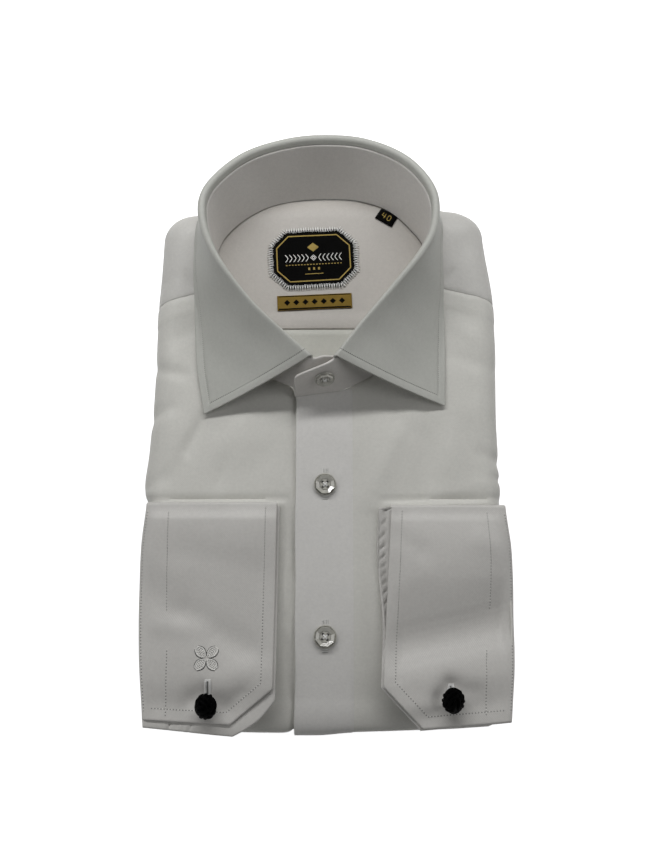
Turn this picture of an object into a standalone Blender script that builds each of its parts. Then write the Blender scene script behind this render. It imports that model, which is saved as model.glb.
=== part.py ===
"""Long sleeve dress shirt, folded on its back, with its collar standing.

X runs across the shirt, towards the wearer's left. Y runs up to the collar.
Z is up. The origin is under the middle of the folded stack. Sizes are in
millimetres until a mesh is made.
"""

import math
from collections import namedtuple

import bmesh
import bpy
from mathutils import Vector

MM = 0.001

# ---------------------------------------------------------------- cloth sizes
CLOTH = 1.2              # a shirt panel with its seam allowances
SEAM_GAP = 0.3           # between pieces that meet or lie on each other
PLACKET_CLOTH = 2.4      # four folded layers
BAND_CLOTH = 1.8         # collar band with its interlining
LEAF_CLOTH = 1.5         # collar leaf with its interlining
CUFF_CLOTH = 1.7         # cuff leaf with its interlining
LABEL_CLOTH = 0.9
PANEL_TOP = SEAM_GAP + CLOTH
PLACKET_TOP = SEAM_GAP + PLACKET_CLOTH

# ------------------------------------------------------------ the folded stack
STACK_BOTTOM = -191.2    # Y of the bottom fold
STACK_TOP = 156.0        # Y of the shoulder fold at the centre back
SHOULDER_SLOPE = 0.0015  # the shoulder fold falls away as this times x squared
SHOULDER_TILT = 0.01     # and it's higher towards the wearer's left
BOTTOM_SLOPE = 0.00035   # the bottom fold rises as this times x squared
CROWN = 26.0             # height of the hidden layers at the centre front
CROWN_FALL = 1.6         # how much lower they are 100 mm out
RIM_HEIGHT = 14.5        # where the sides are widest
BOTTOM_RIM = 18.0        # how far in the bottom edge is rounded
TOP_RIM = 18.0           # the same at the shoulder fold
TUCK_RADIUS = 5.0        # the panels turn under with this radius
RIM_ANGLES = (25, 50, 75, 100, 125, 150)
GRID_ACROSS = 14
GRID_ALONG = 19
CORNER_TURNS = (22.5, 45.0, 67.5)

Side = namedtuple("Side", "y right_half left_half rim")
SIDES = (
    Side(-193, 102.5, 104.0, 9),
    Side(-172, 105.6, 107.0, 9),
    Side(-150, 107.6, 108.8, 9),
    Side(-100, 108.8, 109.4, 9),
    Side(-64, 109.3, 109.0, 9),
    Side(-56, 109.8, 109.3, 10),
    Side(-46, 114.0, 111.0, 12),
    Side(-20, 112.2, 110.6, 14),
    Side(15, 110.4, 110.5, 14),
    Side(85, 109.1, 110.8, 14),
    Side(124, 108.0, 106.3, 20),
    Side(157, 106.5, 104.5, 22),
)

# Edges of the layers folded under the front: how far in they lie, and height.
Layer = namedtuple("Layer", "inset z")
UNDER_LAYERS = (
    Layer(6.0, 9.0), Layer(5.0, 8.3), Layer(1.8, 7.8), Layer(0.5, 6.4),
    Layer(1.6, 5.0), Layer(4.4, 4.5), Layer(2.0, 4.0), Layer(1.0, 2.2),
    Layer(2.6, 0.0),
)

# Soft folds pressed into the panels: a line, half its width, and its height.
Fold = namedtuple("Fold", "x0 y0 x1 y1 width rise")
FOLDS = (
    Fold(-74, -4, -100, -34, 13, -0.9),
    Fold(-92, 60, -98, 10, 12, -0.7),
    Fold(78, 2, 58, -46, 13, -0.9),
    Fold(92, -8, 104, -30, 13, -0.8),
    Fold(94, 70, 98, 20, 12, -0.6),
    Fold(-50, -16, -66, -50, 14, 0.7),
    Fold(38, -12, 30, -50, 14, 0.6),
)

# ------------------------------------------------------------------- the seams
PLACKET_RIGHT = -18.6    # X of the placket's folded edge
PLACKET_LEFT = 16.8      # X of its other edge
YOKE_SEAM_RIGHT = (-87.0, 84.0, -109.0, 78.0)
YOKE_SEAM_LEFT = (79.0, 88.0, 110.0, 81.0)
INNER_YOKE_SEAM = 60.0   # Y of the seam inside the neck
YOKE_SEAM_END = 66.0     # X just inside the neck line, where a yoke seam ends

# The placket's top edge, tucked under the band, from its left to its right.
PLACKET_HEAD = ((16.65, 20.8), (8.0, 18.4), (0.0, 17.4), (-9.0, 16.1), (-18.45, 14.8))

# The collar, from the wearer's right front round the back to the left front.
# The seam is where the band meets the body, the fold is the crest that the
# leaf turns over, and the edge is the leaf's free edge.
Collar = namedtuple("Collar", "seam_x seam_y fold_x fold_y fold_z edge_x edge_y edge_z")
COLLAR = (
    Collar(-13.0, 19.4, -8.9, 33.4, 56.0, -77.2, 2.9, 30.6),
    Collar(-37.5, 29.0, -26.5, 49.0, 58.0, -82.5, 33.0, 29.2),
    Collar(-52.0, 50.0, -47.3, 68.9, 60.5, -84.6, 59.5, 28.7),
    Collar(-65.5, 84.0, -68.0, 96.1, 64.0, -85.9, 85.0, 28.7),
    Collar(-72.0, 112.0, -77.2, 120.7, 65.0, -86.4, 111.5, 28.2),
    Collar(-62.5, 129.5, -75.3, 142.6, 63.2, -83.6, 140.6, 25.5),
    Collar(-43.5, 144.5, -54.8, 165.8, 59.7, -63.6, 169.8, 14.0),
    Collar(-22.0, 152.5, -27.7, 178.8, 55.8, -32.3, 184.9, 9.5),
    Collar(0.0, 155.0, -0.7, 182.7, 54.8, -1.0, 190.0, 8.5),
    Collar(22.0, 153.0, 27.5, 178.9, 56.2, 31.0, 185.2, 9.5),
    Collar(42.0, 144.5, 53.2, 164.2, 60.2, 59.6, 171.2, 14.0),
    Collar(58.5, 129.0, 68.6, 141.3, 63.7, 76.8, 141.2, 25.5),
    Collar(67.5, 114.0, 69.0, 118.0, 65.0, 77.4, 114.0, 29.2),
    Collar(66.0, 93.0, 60.9, 100.0, 64.0, 77.6, 86.0, 29.4),
    Collar(56.5, 64.0, 41.6, 76.7, 60.5, 78.0, 62.0, 29.6),
    Collar(39.0, 35.0, 21.0, 52.2, 58.0, 77.6, 34.0, 29.9),
    Collar(10.0, 18.9, 6.8, 32.9, 57.0, 76.6, 8.2, 31.6),
)
COLLAR_STEPS = 2         # wall stations between two rows of the table
ROLL_AT_BACK = 2.2       # radius of the fold, mid cloth
ROLL_AT_FRONT = 1.5
ROLL_DROP = 2.2          # the leaf's seam lies this far below the roll
LEAF_SAG = 1.4           # how far the leaf bows out between fold and edge

# The band runs on past the leaf at both ends and overlaps at the front.
BandEnd = namedtuple("BandEnd", "seam_x seam_y top_x top_y top_z")
BAND_START = (            # the under end, wearer's right
    BandEnd(8.0, 21.9, 8.0, 33.4, 51.5),
    BandEnd(-1.5, 20.6, -1.5, 32.4, 53.4),
)
BAND_FINISH = (           # the end that shows, wearer's left
    BandEnd(0.5, 17.6, 0.5, 27.2, 55.0),
    BandEnd(-9.0, 16.2, -9.0, 24.9, 52.4),
    BandEnd(-15.6, 15.2, -15.4, 22.6, 49.6),
    BandEnd(-18.4, 14.8, -18.1, 20.8, 45.6),
    BandEnd(-19.3, 14.7, -19.1, 17.6, 37.6),
)

# ------------------------------------------------------------------- the cuffs
# side is -1 for the wearer's right. The hand edge is the one near the placket.
Cuff = namedtuple(
    "Cuff", "name side outer_top outer_mid outer_low hand_top hand_low "
    "corner_y tip_x tip_y top_y low_y")
CUFFS = (
    Cuff("cuff_right", -1, 110.0, 110.9, 105.0, 29.8, 31.1,
         -165.6, 55.9, -186.1, -55.9, -183.4),
    Cuff("cuff_left", 1, 111.2, 112.6, 107.6, 41.0, 34.7,
         -164.4, 57.6, -188.5, -57.6, -184.4),
)
CUFF_REST = 0.5          # gap between the front panel and the cuff
CUFF_SPACE = 1.2         # gap between a cuff's two leaves at their edges
CUFF_FULLNESS = 2.2      # how much further apart they are in the middle
CUFF_RISE = 5.0          # the links hold the cuffs this far up at the bottom
CUFF_RISE_START = -95.0
CUFF_RISE_END = -165.0
CUFF_ACROSS = 8
CORNER_LEVEL = 0.84      # the cut corner starts this far down a leaf
CUFF_LEVELS = (0.0, 0.13, 0.27, 0.41, 0.55, 0.69, CORNER_LEVEL, 0.92, 1.0)
CUFF_FOLD_ANGLES = (45, 90, 135)

# How far each under leaf shows past the front one: at the hand, and below.
UnderLeaf = namedtuple("UnderLeaf", "hand below")
UNDER_LEAVES = {"cuff_right": UnderLeaf(0.0, 6.6), "cuff_left": UnderLeaf(6.0, 0.9)}
UNDER_LEAF_SEAM = 0.65   # share of it that is left at the sleeve's seam
HAND_SHIFT_START = 0.15  # an under leaf that shows at the hand tapers away
HAND_SHIFT_END = 0.62    # between these levels

# The link's slot: how far it runs below and above the knot.
Slot = namedtuple("Slot", "below above")
LINK_SLOTS = {"cuff_right": Slot(3.0, 14.5), "cuff_left": Slot(6.0, 7.0)}
SLOT_WIDTH = 2.8

# The sleeve's strip: out from the cuff's seam edge, and height.
SleeveRow = namedtuple("SleeveRow", "out z")
SLEEVE_SECTION = (
    SleeveRow(1.1, 29.6), SleeveRow(2.0, 26.2), SleeveRow(2.4, 21.5),
    SleeveRow(2.1, 16.5), SleeveRow(1.2, 12.0), SleeveRow(-1.0, 8.9),
)
SLEEVE_CLEAR = 1.3       # the cuff's seam edge is at least this far out
SLEEVE_TOP = -61.0
SLEEVE_BOTTOM = -182.0
SLEEVE_CLOTH = 1.4
SLEEVE_ALONG = 10

# ------------------------------------------------------- buttons, links, labels
FRONT_BUTTON = 14.2      # diameter
COLLAR_BUTTON = 12.8
BUTTON_HEIGHT = 3.2
BUTTON_SIDES = 16        # two to each of the eight facets
BUTTON_HOLE = 1.8        # diameter
BUTTON_HOLE_OFFSET = 1.9
BUTTON_HOLE_SIDES = 6

# A button's section, as shares of its radius and height.
ButtonRing = namedtuple("ButtonRing", "radius height")
BUTTON_SECTION = (
    ButtonRing(0.72, 0.0), ButtonRing(1.0, 0.30), ButtonRing(1.0, 0.48),
    ButtonRing(0.90, 1.0), ButtonRing(0.62, 0.94), ButtonRing(0.48, 0.66),
)
BUTTON_Y = (-42.5, -135.7)
COLLAR_BUTTON_X = -0.4

KNOT_RADIUS = 6.9
KNOT_LONGER = 1.14       # how much longer than wide a knot is
KNOT_HEIGHT = 11.6
KNOT_FULLNESS = 0.5      # how far the front leaf bows up at the knot
KNOT_SIDES = 14
KNOT_ANGLES = (-66, -44, -22, 0, 22, 44, 66, 82)
KNOT_STEM = 1.0          # radius
FAR_KNOT_HEIGHT = 3.4

# The far knot's section, as shares of the near knot's radius and its height.
FarRing = namedtuple("FarRing", "radius drop")
FAR_KNOT_SECTION = (
    FarRing(0.45, 1.0), FarRing(0.82, 0.72), FarRing(0.82, 0.28), FarRing(0.45, 0.0),
)
KNOT_PLACES = {"cuff_right": (-69.3, -174.9), "cuff_left": (74.7, -171.7)}

Label = namedtuple("Label", "x y width height corner turn")
MAIN_LABEL = Label(-7.6, 109.0, 57.5, 43.5, 12.0, 0.0)
STRIP_LABEL = Label(-6.8, 78.7, 49.0, 10.2, 0.0, 1.6)
SIZE_TAB = Label(39.2, 136.4, 10.8, 10.6, 0.0, -33.0)

# ------------------------------------------------------- guides for the cutting
FAR = 260.0              # past every edge, in plan
GUIDE_LOW = -10.0
GUIDE_HIGH = 120.0
SLOT_LOW = 15.0

# ------------------------------------------------------------------- finishes
Finish = namedtuple("Finish", "colour roughness metallic")
COTTON = Finish((0.80, 0.80, 0.78), 0.72, 0.0)
COLLAR_COTTON = Finish((0.76, 0.76, 0.74), 0.70, 0.0)
CLEAR_RESIN = Finish((0.86, 0.86, 0.84), 0.12, 0.0)
BLACK_SILK = Finish((0.012, 0.012, 0.013), 0.60, 0.0)
BLACK_SATIN = Finish((0.015, 0.014, 0.014), 0.45, 0.0)
GOLD_SATIN = Finish((0.30, 0.21, 0.05), 0.45, 0.0)


# --------------------------------------------------------------------- numbers
def mix(a, b, share):
    return a + (b - a) * share


def ease(value, start, end):
    """0 before start, 1 past end, smooth between."""
    share = min(1.0, max(0.0, (value - start) / (end - start)))
    return share * share * (3.0 - 2.0 * share)


def smooth_between(before, start, end, after, share):
    """One value on the smooth curve through start and end."""
    slope_in = (end - before) / 2.0
    slope_out = (after - start) / 2.0
    square, cube = share ** 2, share ** 3
    return ((2 * cube - 3 * square + 1) * start + (cube - 2 * square + share) * slope_in
            + (3 * square - 2 * cube) * end + (cube - square) * slope_out)


def curve_through(rows, steps):
    """More rows on the smooth curve through the given ones."""
    made = []
    last = len(rows) - 1
    for index in range(last):
        near = [rows[max(0, index - 1)], rows[index], rows[index + 1],
                rows[min(last, index + 2)]]
        for step in range(steps):
            share = step / steps
            made.append(tuple(smooth_between(*values, share) for values in zip(*near)))
    made.append(tuple(rows[last]))
    return made


def side_at(y):
    """The stack's half widths and side rounding at a Y."""
    if y <= SIDES[0].y:
        return SIDES[0]
    for index in range(len(SIDES) - 1):
        if y <= SIDES[index + 1].y:
            share = (y - SIDES[index].y) / (SIDES[index + 1].y - SIDES[index].y)
            near = (SIDES[max(0, index - 1)], SIDES[index], SIDES[index + 1],
                    SIDES[min(len(SIDES) - 1, index + 2)])
            return Side(*(smooth_between(*values, share) for values in zip(*near)))
    return SIDES[-1]


# ----------------------------------------------------------- form of the stack
def shoulder_fold(x):
    return STACK_TOP + SHOULDER_TILT * x - SHOULDER_SLOPE * x * x


def bottom_fold(x):
    return STACK_BOTTOM + BOTTOM_SLOPE * x * x


def fold_relief(x, y):
    """Height of the soft folds at a place."""
    total = 0.0
    for fold in FOLDS:
        along_x, along_y = fold.x1 - fold.x0, fold.y1 - fold.y0
        length = math.hypot(along_x, along_y)
        share = ((x - fold.x0) * along_x + (y - fold.y0) * along_y) / length ** 2
        nearest = min(1.0, max(0.0, share))
        away = math.hypot(x - fold.x0 - along_x * nearest, y - fold.y0 - along_y * nearest)
        total += fold.rise * math.exp(-(away / fold.width) ** 2 * 2.0)
    return total


def crown(x, y):
    """Height of the hidden layers before their edges are rounded."""
    return CROWN - CROWN_FALL * (x / 100.0) ** 2 + fold_relief(x, y)


def stack_height(x, y, lift):
    """Height of the stack's rounded surface, with a layer of lift on it."""
    side = side_at(y)
    half = side.right_half if x < 0 else side.left_half
    at_side = 1.0 - (half + lift - abs(x)) / (side.rim + lift)
    at_top = 1.0 - (shoulder_fold(x) + lift - y) / (TOP_RIM + lift)
    at_bottom = 1.0 - (y + lift - bottom_fold(x)) / (BOTTOM_RIM + lift)
    out = min(1.0, math.hypot(max(0.0, at_side), max(0.0, at_top, at_bottom)))
    return RIM_HEIGHT + (crown(x, y) + lift - RIM_HEIGHT) * math.sqrt(1.0 - out * out)


def grid_place(across, along):
    """Plan place of a point of the stack's flat part, from two shares."""
    x = 0.0
    for _ in range(3):
        y = mix(bottom_fold(x) + BOTTOM_RIM, shoulder_fold(x) - TOP_RIM, along)
        side = side_at(y)
        x = mix(side.rim - side.right_half, side.left_half - side.rim, across)
    return x, y


def rim_loop():
    """Where the rounding starts, all round: grid index, place, direction."""
    loop = []

    def corner(across, along, start):
        side_x = -1.0 if across == 0 else 1.0
        end_y = -1.0 if along == 0 else 1.0
        turns = (0.0,) + CORNER_TURNS + (90.0,)
        if start == "end":
            turns = turns[::-1]
        for turn in turns:
            angle = math.radians(turn)
            loop.append((across, along, side_x * math.cos(angle), end_y * math.sin(angle)))

    corner(0, 0, "side")
    for across in range(1, GRID_ACROSS):
        loop.append((across, 0, 0.0, -1.0))
    corner(GRID_ACROSS, 0, "end")
    for along in range(1, GRID_ALONG):
        loop.append((GRID_ACROSS, along, 1.0, 0.0))
    corner(GRID_ACROSS, GRID_ALONG, "side")
    for across in range(GRID_ACROSS - 1, 0, -1):
        loop.append((across, GRID_ALONG, 0.0, 1.0))
    corner(0, GRID_ALONG, "end")
    for along in range(GRID_ALONG - 1, 0, -1):
        loop.append((0, along, -1.0, 0.0))
    return loop


def rim_point(anchor, direction, angle, lift):
    """A point on the rounded edge, from where its rounding starts."""
    x, y = anchor
    rim_x = side_at(y).rim + lift
    rim_y = (BOTTOM_RIM if direction[1] < 0 else TOP_RIM) + lift
    reach = Vector((direction[0] * rim_x, direction[1] * rim_y))
    turn = math.radians(angle)
    if angle <= 90:
        out = reach * math.sin(turn)
        z = RIM_HEIGHT + (crown(x, y) + lift - RIM_HEIGHT) * math.cos(turn)
    else:
        tuck = TUCK_RADIUS + lift
        out = reach - reach.normalized() * tuck * (1.0 - math.sin(turn))
        z = RIM_HEIGHT + tuck * math.cos(turn)
    return (x + out.x, y + out.y, z)


def stack_surface(lift):
    """Top and rounded edges of the stack: points, faces and the last loop."""
    points, faces = [], []
    width = GRID_ACROSS + 1
    for along in range(GRID_ALONG + 1):
        for across in range(width):
            x, y = grid_place(across / GRID_ACROSS, along / GRID_ALONG)
            points.append((x, y, crown(x, y) + lift))
    for along in range(GRID_ALONG):
        for across in range(GRID_ACROSS):
            corner = along * width + across
            faces.append((corner, corner + 1, corner + 1 + width))
            faces.append((corner, corner + 1 + width, corner + width))
    loop = rim_loop()
    ring = [along * width + across for across, along, _, _ in loop]
    for angle in RIM_ANGLES:
        next_ring = []
        for across, along, out_x, out_y in loop:
            anchor = grid_place(across / GRID_ACROSS, along / GRID_ALONG)
            next_ring.append(len(points))
            points.append(rim_point(anchor, (out_x, out_y), angle, lift))
        faces += ring_faces(ring, next_ring)
        ring = next_ring
    return points, faces, ring


def ring_faces(upper, lower):
    """Triangles between two closed loops, one where neighbours are equal."""
    faces = []
    for index in range(len(upper)):
        after = (index + 1) % len(upper)
        faces.append((upper[index], lower[index], lower[after]))
        if upper[index] != upper[after]:
            faces.append((upper[index], lower[after], upper[after]))
    return faces


# ------------------------------------------------------------------- mesh tools
def finish_material(name, finish):
    material = bpy.data.materials.new(name)
    material.use_nodes = True
    shader = material.node_tree.nodes["Principled BSDF"]
    shader.inputs["Base Color"].default_value = (*finish.colour, 1.0)
    shader.inputs["Roughness"].default_value = finish.roughness
    shader.inputs["Metallic"].default_value = finish.metallic
    return material


def make_object(name, points, faces, finish):
    """One closed body from points in millimetres."""
    mesh = bpy.data.meshes.new(name)
    mesh.from_pydata([Vector(point) * MM for point in points], [], faces)
    tidy = bmesh.new()
    tidy.from_mesh(mesh)
    bmesh.ops.recalc_face_normals(tidy, faces=tidy.faces)
    tidy.to_mesh(mesh)
    tidy.free()
    mesh.shade_smooth()
    mesh.set_sharp_from_angle(angle=math.radians(40))
    if finish:
        mesh.materials.append(finish_material(name + "_finish", finish))
    made = bpy.data.objects.new(name, mesh)
    bpy.context.scene.collection.objects.link(made)
    return made


def shift_faces(faces, count):
    return [tuple(index + count for index in face) for face in faces]


def wall_faces(rows, columns):
    """Faces of a closed wall whose two skins are grids of the same size."""
    size = rows * columns
    skin = [(r * columns + c, r * columns + c + 1, (r + 1) * columns + c + 1, (r + 1) * columns + c)
            for r in range(rows - 1) for c in range(columns - 1)]
    border = [r * columns for r in range(rows)]
    border += [(rows - 1) * columns + c for c in range(1, columns)]
    border += [r * columns + columns - 1 for r in range(rows - 2, -1, -1)]
    border += [c for c in range(columns - 2, 0, -1)]
    edge = [(border[i], border[(i + 1) % len(border)], border[(i + 1) % len(border)] + size,
             border[i] + size) for i in range(len(border))]
    return skin + [face[::-1] for face in shift_faces(skin, size)] + edge


def make_wall(name, grid, thickness, finish):
    """A cloth wall with its middle on a grid of points."""
    rows, columns = len(grid), len(grid[0])
    upper, lower = [], []
    for r in range(rows):
        for c in range(columns):
            point = Vector(grid[r][c])
            down = Vector(grid[min(r + 1, rows - 1)][c]) - Vector(grid[max(r - 1, 0)][c])
            right = Vector(grid[r][min(c + 1, columns - 1)]) - Vector(grid[r][max(c - 1, 0)])
            normal = down.cross(right).normalized() * thickness / 2.0
            upper.append(point + normal)
            lower.append(point - normal)
    return make_object(name, upper + lower, wall_faces(rows, columns), finish)


def make_prism(name, outline, bottom, top, finish=None):
    """An upright prism over a plan outline."""
    count = len(outline)
    points = [(x, y, bottom) for x, y in outline] + [(x, y, top) for x, y in outline]
    faces = [tuple(range(count))[::-1], tuple(range(count, 2 * count))]
    faces += [(i, (i + 1) % count, (i + 1) % count + count, i + count) for i in range(count)]
    return make_object(name, points, faces, finish)


def boolean(target, cutter, operation):
    """Cut a piece with another, which is then only a hidden guide."""
    change = target.modifiers.new(cutter.name, "BOOLEAN")
    change.operation = operation
    change.solver = "EXACT"
    change.object = cutter
    cutter.hide_render = True
    cutter.display_type = "WIRE"


def cut_panel(name, top_lift, outline, finish, bottom=GUIDE_LOW):
    """A panel of the skin that lies on the stack, cut to a plan outline."""
    upper, faces, upper_ring = stack_surface(top_lift)
    lower, _, lower_ring = stack_surface(SEAM_GAP)
    count = len(upper)
    faces = faces + [face[::-1] for face in shift_faces(faces, count)]
    faces += ring_faces(upper_ring, [index + count for index in lower_ring])
    panel = make_object(name, upper + lower, faces, finish)
    boolean(panel, make_prism(name + "_outline", outline, bottom, GUIDE_HIGH), "INTERSECT")


# -------------------------------------------------------------------- the body
def hidden_layers():
    """The folded back, tails and sleeves: rounded, layered at the edges."""
    points, faces, ring = stack_surface(0.0)
    loop = rim_loop()
    for layer in UNDER_LAYERS:
        next_ring = []
        for across, along, out_x, out_y in loop:
            x, y = grid_place(across / GRID_ACROSS, along / GRID_ALONG)
            rim_y = BOTTOM_RIM if out_y < 0 else TOP_RIM
            reach = Vector((out_x * side_at(y).rim, out_y * rim_y))
            place = Vector((x, y)) + reach - reach.normalized() * layer.inset
            next_ring.append(len(points))
            points.append((place.x, place.y, layer.z))
        faces += ring_faces(ring, next_ring)
        ring = next_ring
    faces.append(tuple(ring)[::-1])
    return make_object("hidden_layers", points, faces, COTTON)


def neck_line():
    """The neck seam in plan, from the right front round to the left front."""
    return curve_through([(row.seam_x, row.seam_y) for row in COLLAR], COLLAR_STEPS)


def inset_line(line, inset):
    """A plan line moved towards the middle of the neck."""
    moved = []
    for index, (x, y) in enumerate(line):
        before = line[max(0, index - 1)]
        after = line[min(len(line) - 1, index + 1)]
        along = Vector((after[0] - before[0], after[1] - before[1])).normalized()
        moved.append((x + along.y * inset, y - along.x * inset))
    return moved


def crossing(line, axis, value):
    """Where a plan line crosses an X (axis 0) or a Y (axis 1)."""
    for here, after in zip(line, line[1:]):
        if (here[axis] - value) * (after[axis] - value) <= 0.0 and here[axis] != after[axis]:
            share = (value - here[axis]) / (after[axis] - here[axis])
            return mix(here[0], after[0], share), mix(here[1], after[1], share)
    raise ValueError("the line doesn't reach it")


def seam_y(seam, x):
    """Y of a yoke's front seam, carried on from its two points to an X."""
    x0, y0, x1, y1 = seam
    return y0 + (y1 - y0) * (x - x0) / (x1 - x0)


def body_panels():
    """The fronts, the placket, both yokes and what shows of the back."""
    neck = neck_line()
    middle = len(neck) // 2
    half_gap = SEAM_GAP / 2.0
    right_end = seam_y(YOKE_SEAM_RIGHT, -FAR)
    left_end = seam_y(YOKE_SEAM_LEFT, FAR)
    right_top = seam_y(YOKE_SEAM_RIGHT, -YOKE_SEAM_END)
    left_top = seam_y(YOKE_SEAM_LEFT, YOKE_SEAM_END)

    right_x = PLACKET_RIGHT - half_gap
    right_neck = [point for point in neck[:middle] if point[1] < right_top - 2.0]
    outline = [(right_x, -FAR), crossing(neck, 0, right_x)]
    outline += [point for point in right_neck if point[0] < right_x]
    outline += [crossing(neck[:middle], 1, right_top - half_gap)]
    outline += [(-FAR, right_end - half_gap), (-FAR, -FAR)]
    cut_panel("front_right", PANEL_TOP, outline, COTTON)

    left_x = PLACKET_LEFT + half_gap
    left_neck = [point for point in neck[middle:] if point[1] < left_top - 2.0]
    outline = [(FAR, -FAR), (FAR, left_end - half_gap)]
    outline += [crossing(neck[middle:], 1, left_top - half_gap)]
    outline += [point for point in left_neck if point[0] > left_x]
    outline += [crossing(neck[:middle:-1], 0, left_x), (left_x, -FAR)]
    cut_panel("front_left", PANEL_TOP, outline, COTTON)

    outline = [(PLACKET_RIGHT + half_gap, -FAR), (PLACKET_LEFT - half_gap, -FAR)]
    outline += PLACKET_HEAD
    cut_panel("placket", PLACKET_TOP, outline, COTTON)

    outline = [(-FAR, right_end + half_gap), crossing(neck[:middle], 1, right_top + half_gap)]
    outline += [point for point in neck[:middle] if point[1] > right_top + 1.0]
    outline += [point for point in neck[middle:] if point[1] > left_top + 1.0]
    outline += [crossing(neck[middle:], 1, left_top + half_gap)]
    outline += [(FAR, left_end + half_gap), (FAR, FAR), (-FAR, FAR)]
    cut_panel("yoke_outer", PANEL_TOP, outline, COTTON)

    inside = inset_line(neck, SEAM_GAP)
    for name, seam, keep in (("yoke_inner", INNER_YOKE_SEAM + half_gap, 1.0),
                             ("back", INNER_YOKE_SEAM - half_gap, -1.0)):
        right = [crossing(inside[:middle], 1, seam)]
        left = [crossing(inside[middle:], 1, seam)]
        kept = [point for point in inside if (point[1] - seam) * keep > 0.0]
        if keep > 0.0:
            outline = right + kept + left
        else:
            split = sum(1 for point in kept if point in inside[:middle])
            outline = kept[:split] + right + left + kept[split:]
        cut_panel(name, PANEL_TOP, outline, COTTON, RIM_HEIGHT)


# ------------------------------------------------------------------ the collar
def collar_rows():
    return [Collar(*row) for row in curve_through(COLLAR, COLLAR_STEPS)]


def foot_height(x, y):
    """Height of the band's lower edge: it stands on the panels."""
    on_placket = PLACKET_RIGHT < x < PLACKET_LEFT and y < 20.0
    return stack_height(x, y, (PLACKET_TOP if on_placket else PANEL_TOP) + 1.0)


def roll_radius(index, count):
    return mix(ROLL_AT_FRONT, ROLL_AT_BACK, math.sin(math.pi * index / (count - 1)))


def fold_frame(row, radius):
    """Band direction, outward direction, roll centre and roll angle."""
    foot = Vector((row.seam_x, row.seam_y, foot_height(row.seam_x, row.seam_y)))
    crest = Vector((row.fold_x, row.fold_y, row.fold_z))
    edge = Vector((row.edge_x, row.edge_y, row.edge_z))
    up = (crest - foot).normalized()
    centre = crest - up * radius
    leaf = (edge - centre).normalized()
    out = (leaf - up * leaf.dot(up)).normalized()
    angle = math.atan2(leaf.dot(out), leaf.dot(up))
    return foot, up, out, centre, angle, edge


def collar_band():
    """The stand: one strip whose ends overlap at the front."""
    sections = []
    for row in curve_through(BAND_START, 2):
        end = BandEnd(*row)
        foot = Vector((end.seam_x, end.seam_y, foot_height(end.seam_x, end.seam_y)))
        sections.append((foot, Vector((end.top_x, end.top_y, end.top_z))))
    rows = collar_rows()
    for index, row in enumerate(rows):
        radius = roll_radius(index, len(rows))
        foot, up, out, centre, _, _ = fold_frame(row, radius)
        top = centre - out * radius - up * (ROLL_DROP + SEAM_GAP)
        sections.append((foot, top))
    for row in curve_through(BAND_FINISH, 2):
        end = BandEnd(*row)
        foot_z = stack_height(end.seam_x, end.seam_y, PLACKET_TOP + 0.8)
        foot = Vector((end.seam_x, end.seam_y, foot_z))
        sections.append((foot, Vector((end.top_x, end.top_y, end.top_z))))
    heights = (0.0, 0.34, 0.67, 1.0)
    grid = [[foot.lerp(top, share) for share in heights] for foot, top in sections]
    return make_wall("collar_band", grid, BAND_CLOTH, COLLAR_COTTON)


def collar_leaf():
    """The fall: from its seam over the roll and down to its free edge."""
    rows = collar_rows()
    grid = []
    for index, row in enumerate(rows):
        radius = roll_radius(index, len(rows))
        foot, up, out, centre, angle, edge = fold_frame(row, radius)
        section = [centre - out * radius - up * ROLL_DROP]
        for share in (0.0, 0.33, 0.67, 1.0):
            turn = angle * share
            section.append(centre - out * radius * math.cos(turn) + up * radius * math.sin(turn))
        start = section[-1]
        side = (up * math.cos(angle) + out * math.sin(angle)).cross(up.cross(out)).normalized()
        if side.dot(out) < 0:
            side = -side
        for share in (0.25, 0.5, 0.75, 1.0):
            bow = LEAF_SAG * 4.0 * share * (1.0 - share)
            section.append(start.lerp(edge, share) + side * bow)
        grid.append(section)
    return make_wall("collar_leaf", grid, LEAF_CLOTH, COLLAR_COTTON)


# --------------------------------------------------------- cuffs and sleeves
def cuff_lift(y):
    """How far a cuff's under leaf is above the stack's flat height."""
    rise = CUFF_RISE * ease(-y, -CUFF_RISE_START, -CUFF_RISE_END)
    return PANEL_TOP + CUFF_REST + CUFF_CLOTH / 2.0 + rise


def cuff_seam(cuff, y_share):
    """How far out the cuff's seam with the sleeve is."""
    bulge = cuff.outer_mid - (cuff.outer_top + cuff.outer_low) / 2.0
    return mix(cuff.outer_top, cuff.outer_low, y_share) + 4.0 * y_share * (1.0 - y_share) * bulge


def cuff_outline(cuff, x_share, y_share, shows=UnderLeaf(0.0, 0.0)):
    """Plan place in one leaf: x from sleeve to hand, y from top to bottom."""
    outer_y = mix(cuff.top_y, cuff.low_y - shows.below * UNDER_LEAF_SEAM, y_share)
    outer = cuff_seam(cuff, y_share)
    if y_share < CORNER_LEVEL:
        share = y_share / CORNER_LEVEL
        hand_x = mix(cuff.hand_top, cuff.hand_low, share)
        hand_y = mix(cuff.top_y, cuff.corner_y - shows.below, share)
    else:
        share = (y_share - CORNER_LEVEL) / (1.0 - CORNER_LEVEL)
        hand_x = mix(cuff.hand_low, cuff.tip_x, share)
        hand_y = mix(cuff.corner_y, cuff.tip_y, share) - shows.below
    hand_x -= shows.hand * (1.0 - ease(y_share, HAND_SHIFT_START, HAND_SHIFT_END))
    x = mix(outer, hand_x, x_share)
    y = mix(outer_y, hand_y, x_share)
    return cuff.side * x, y


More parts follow.
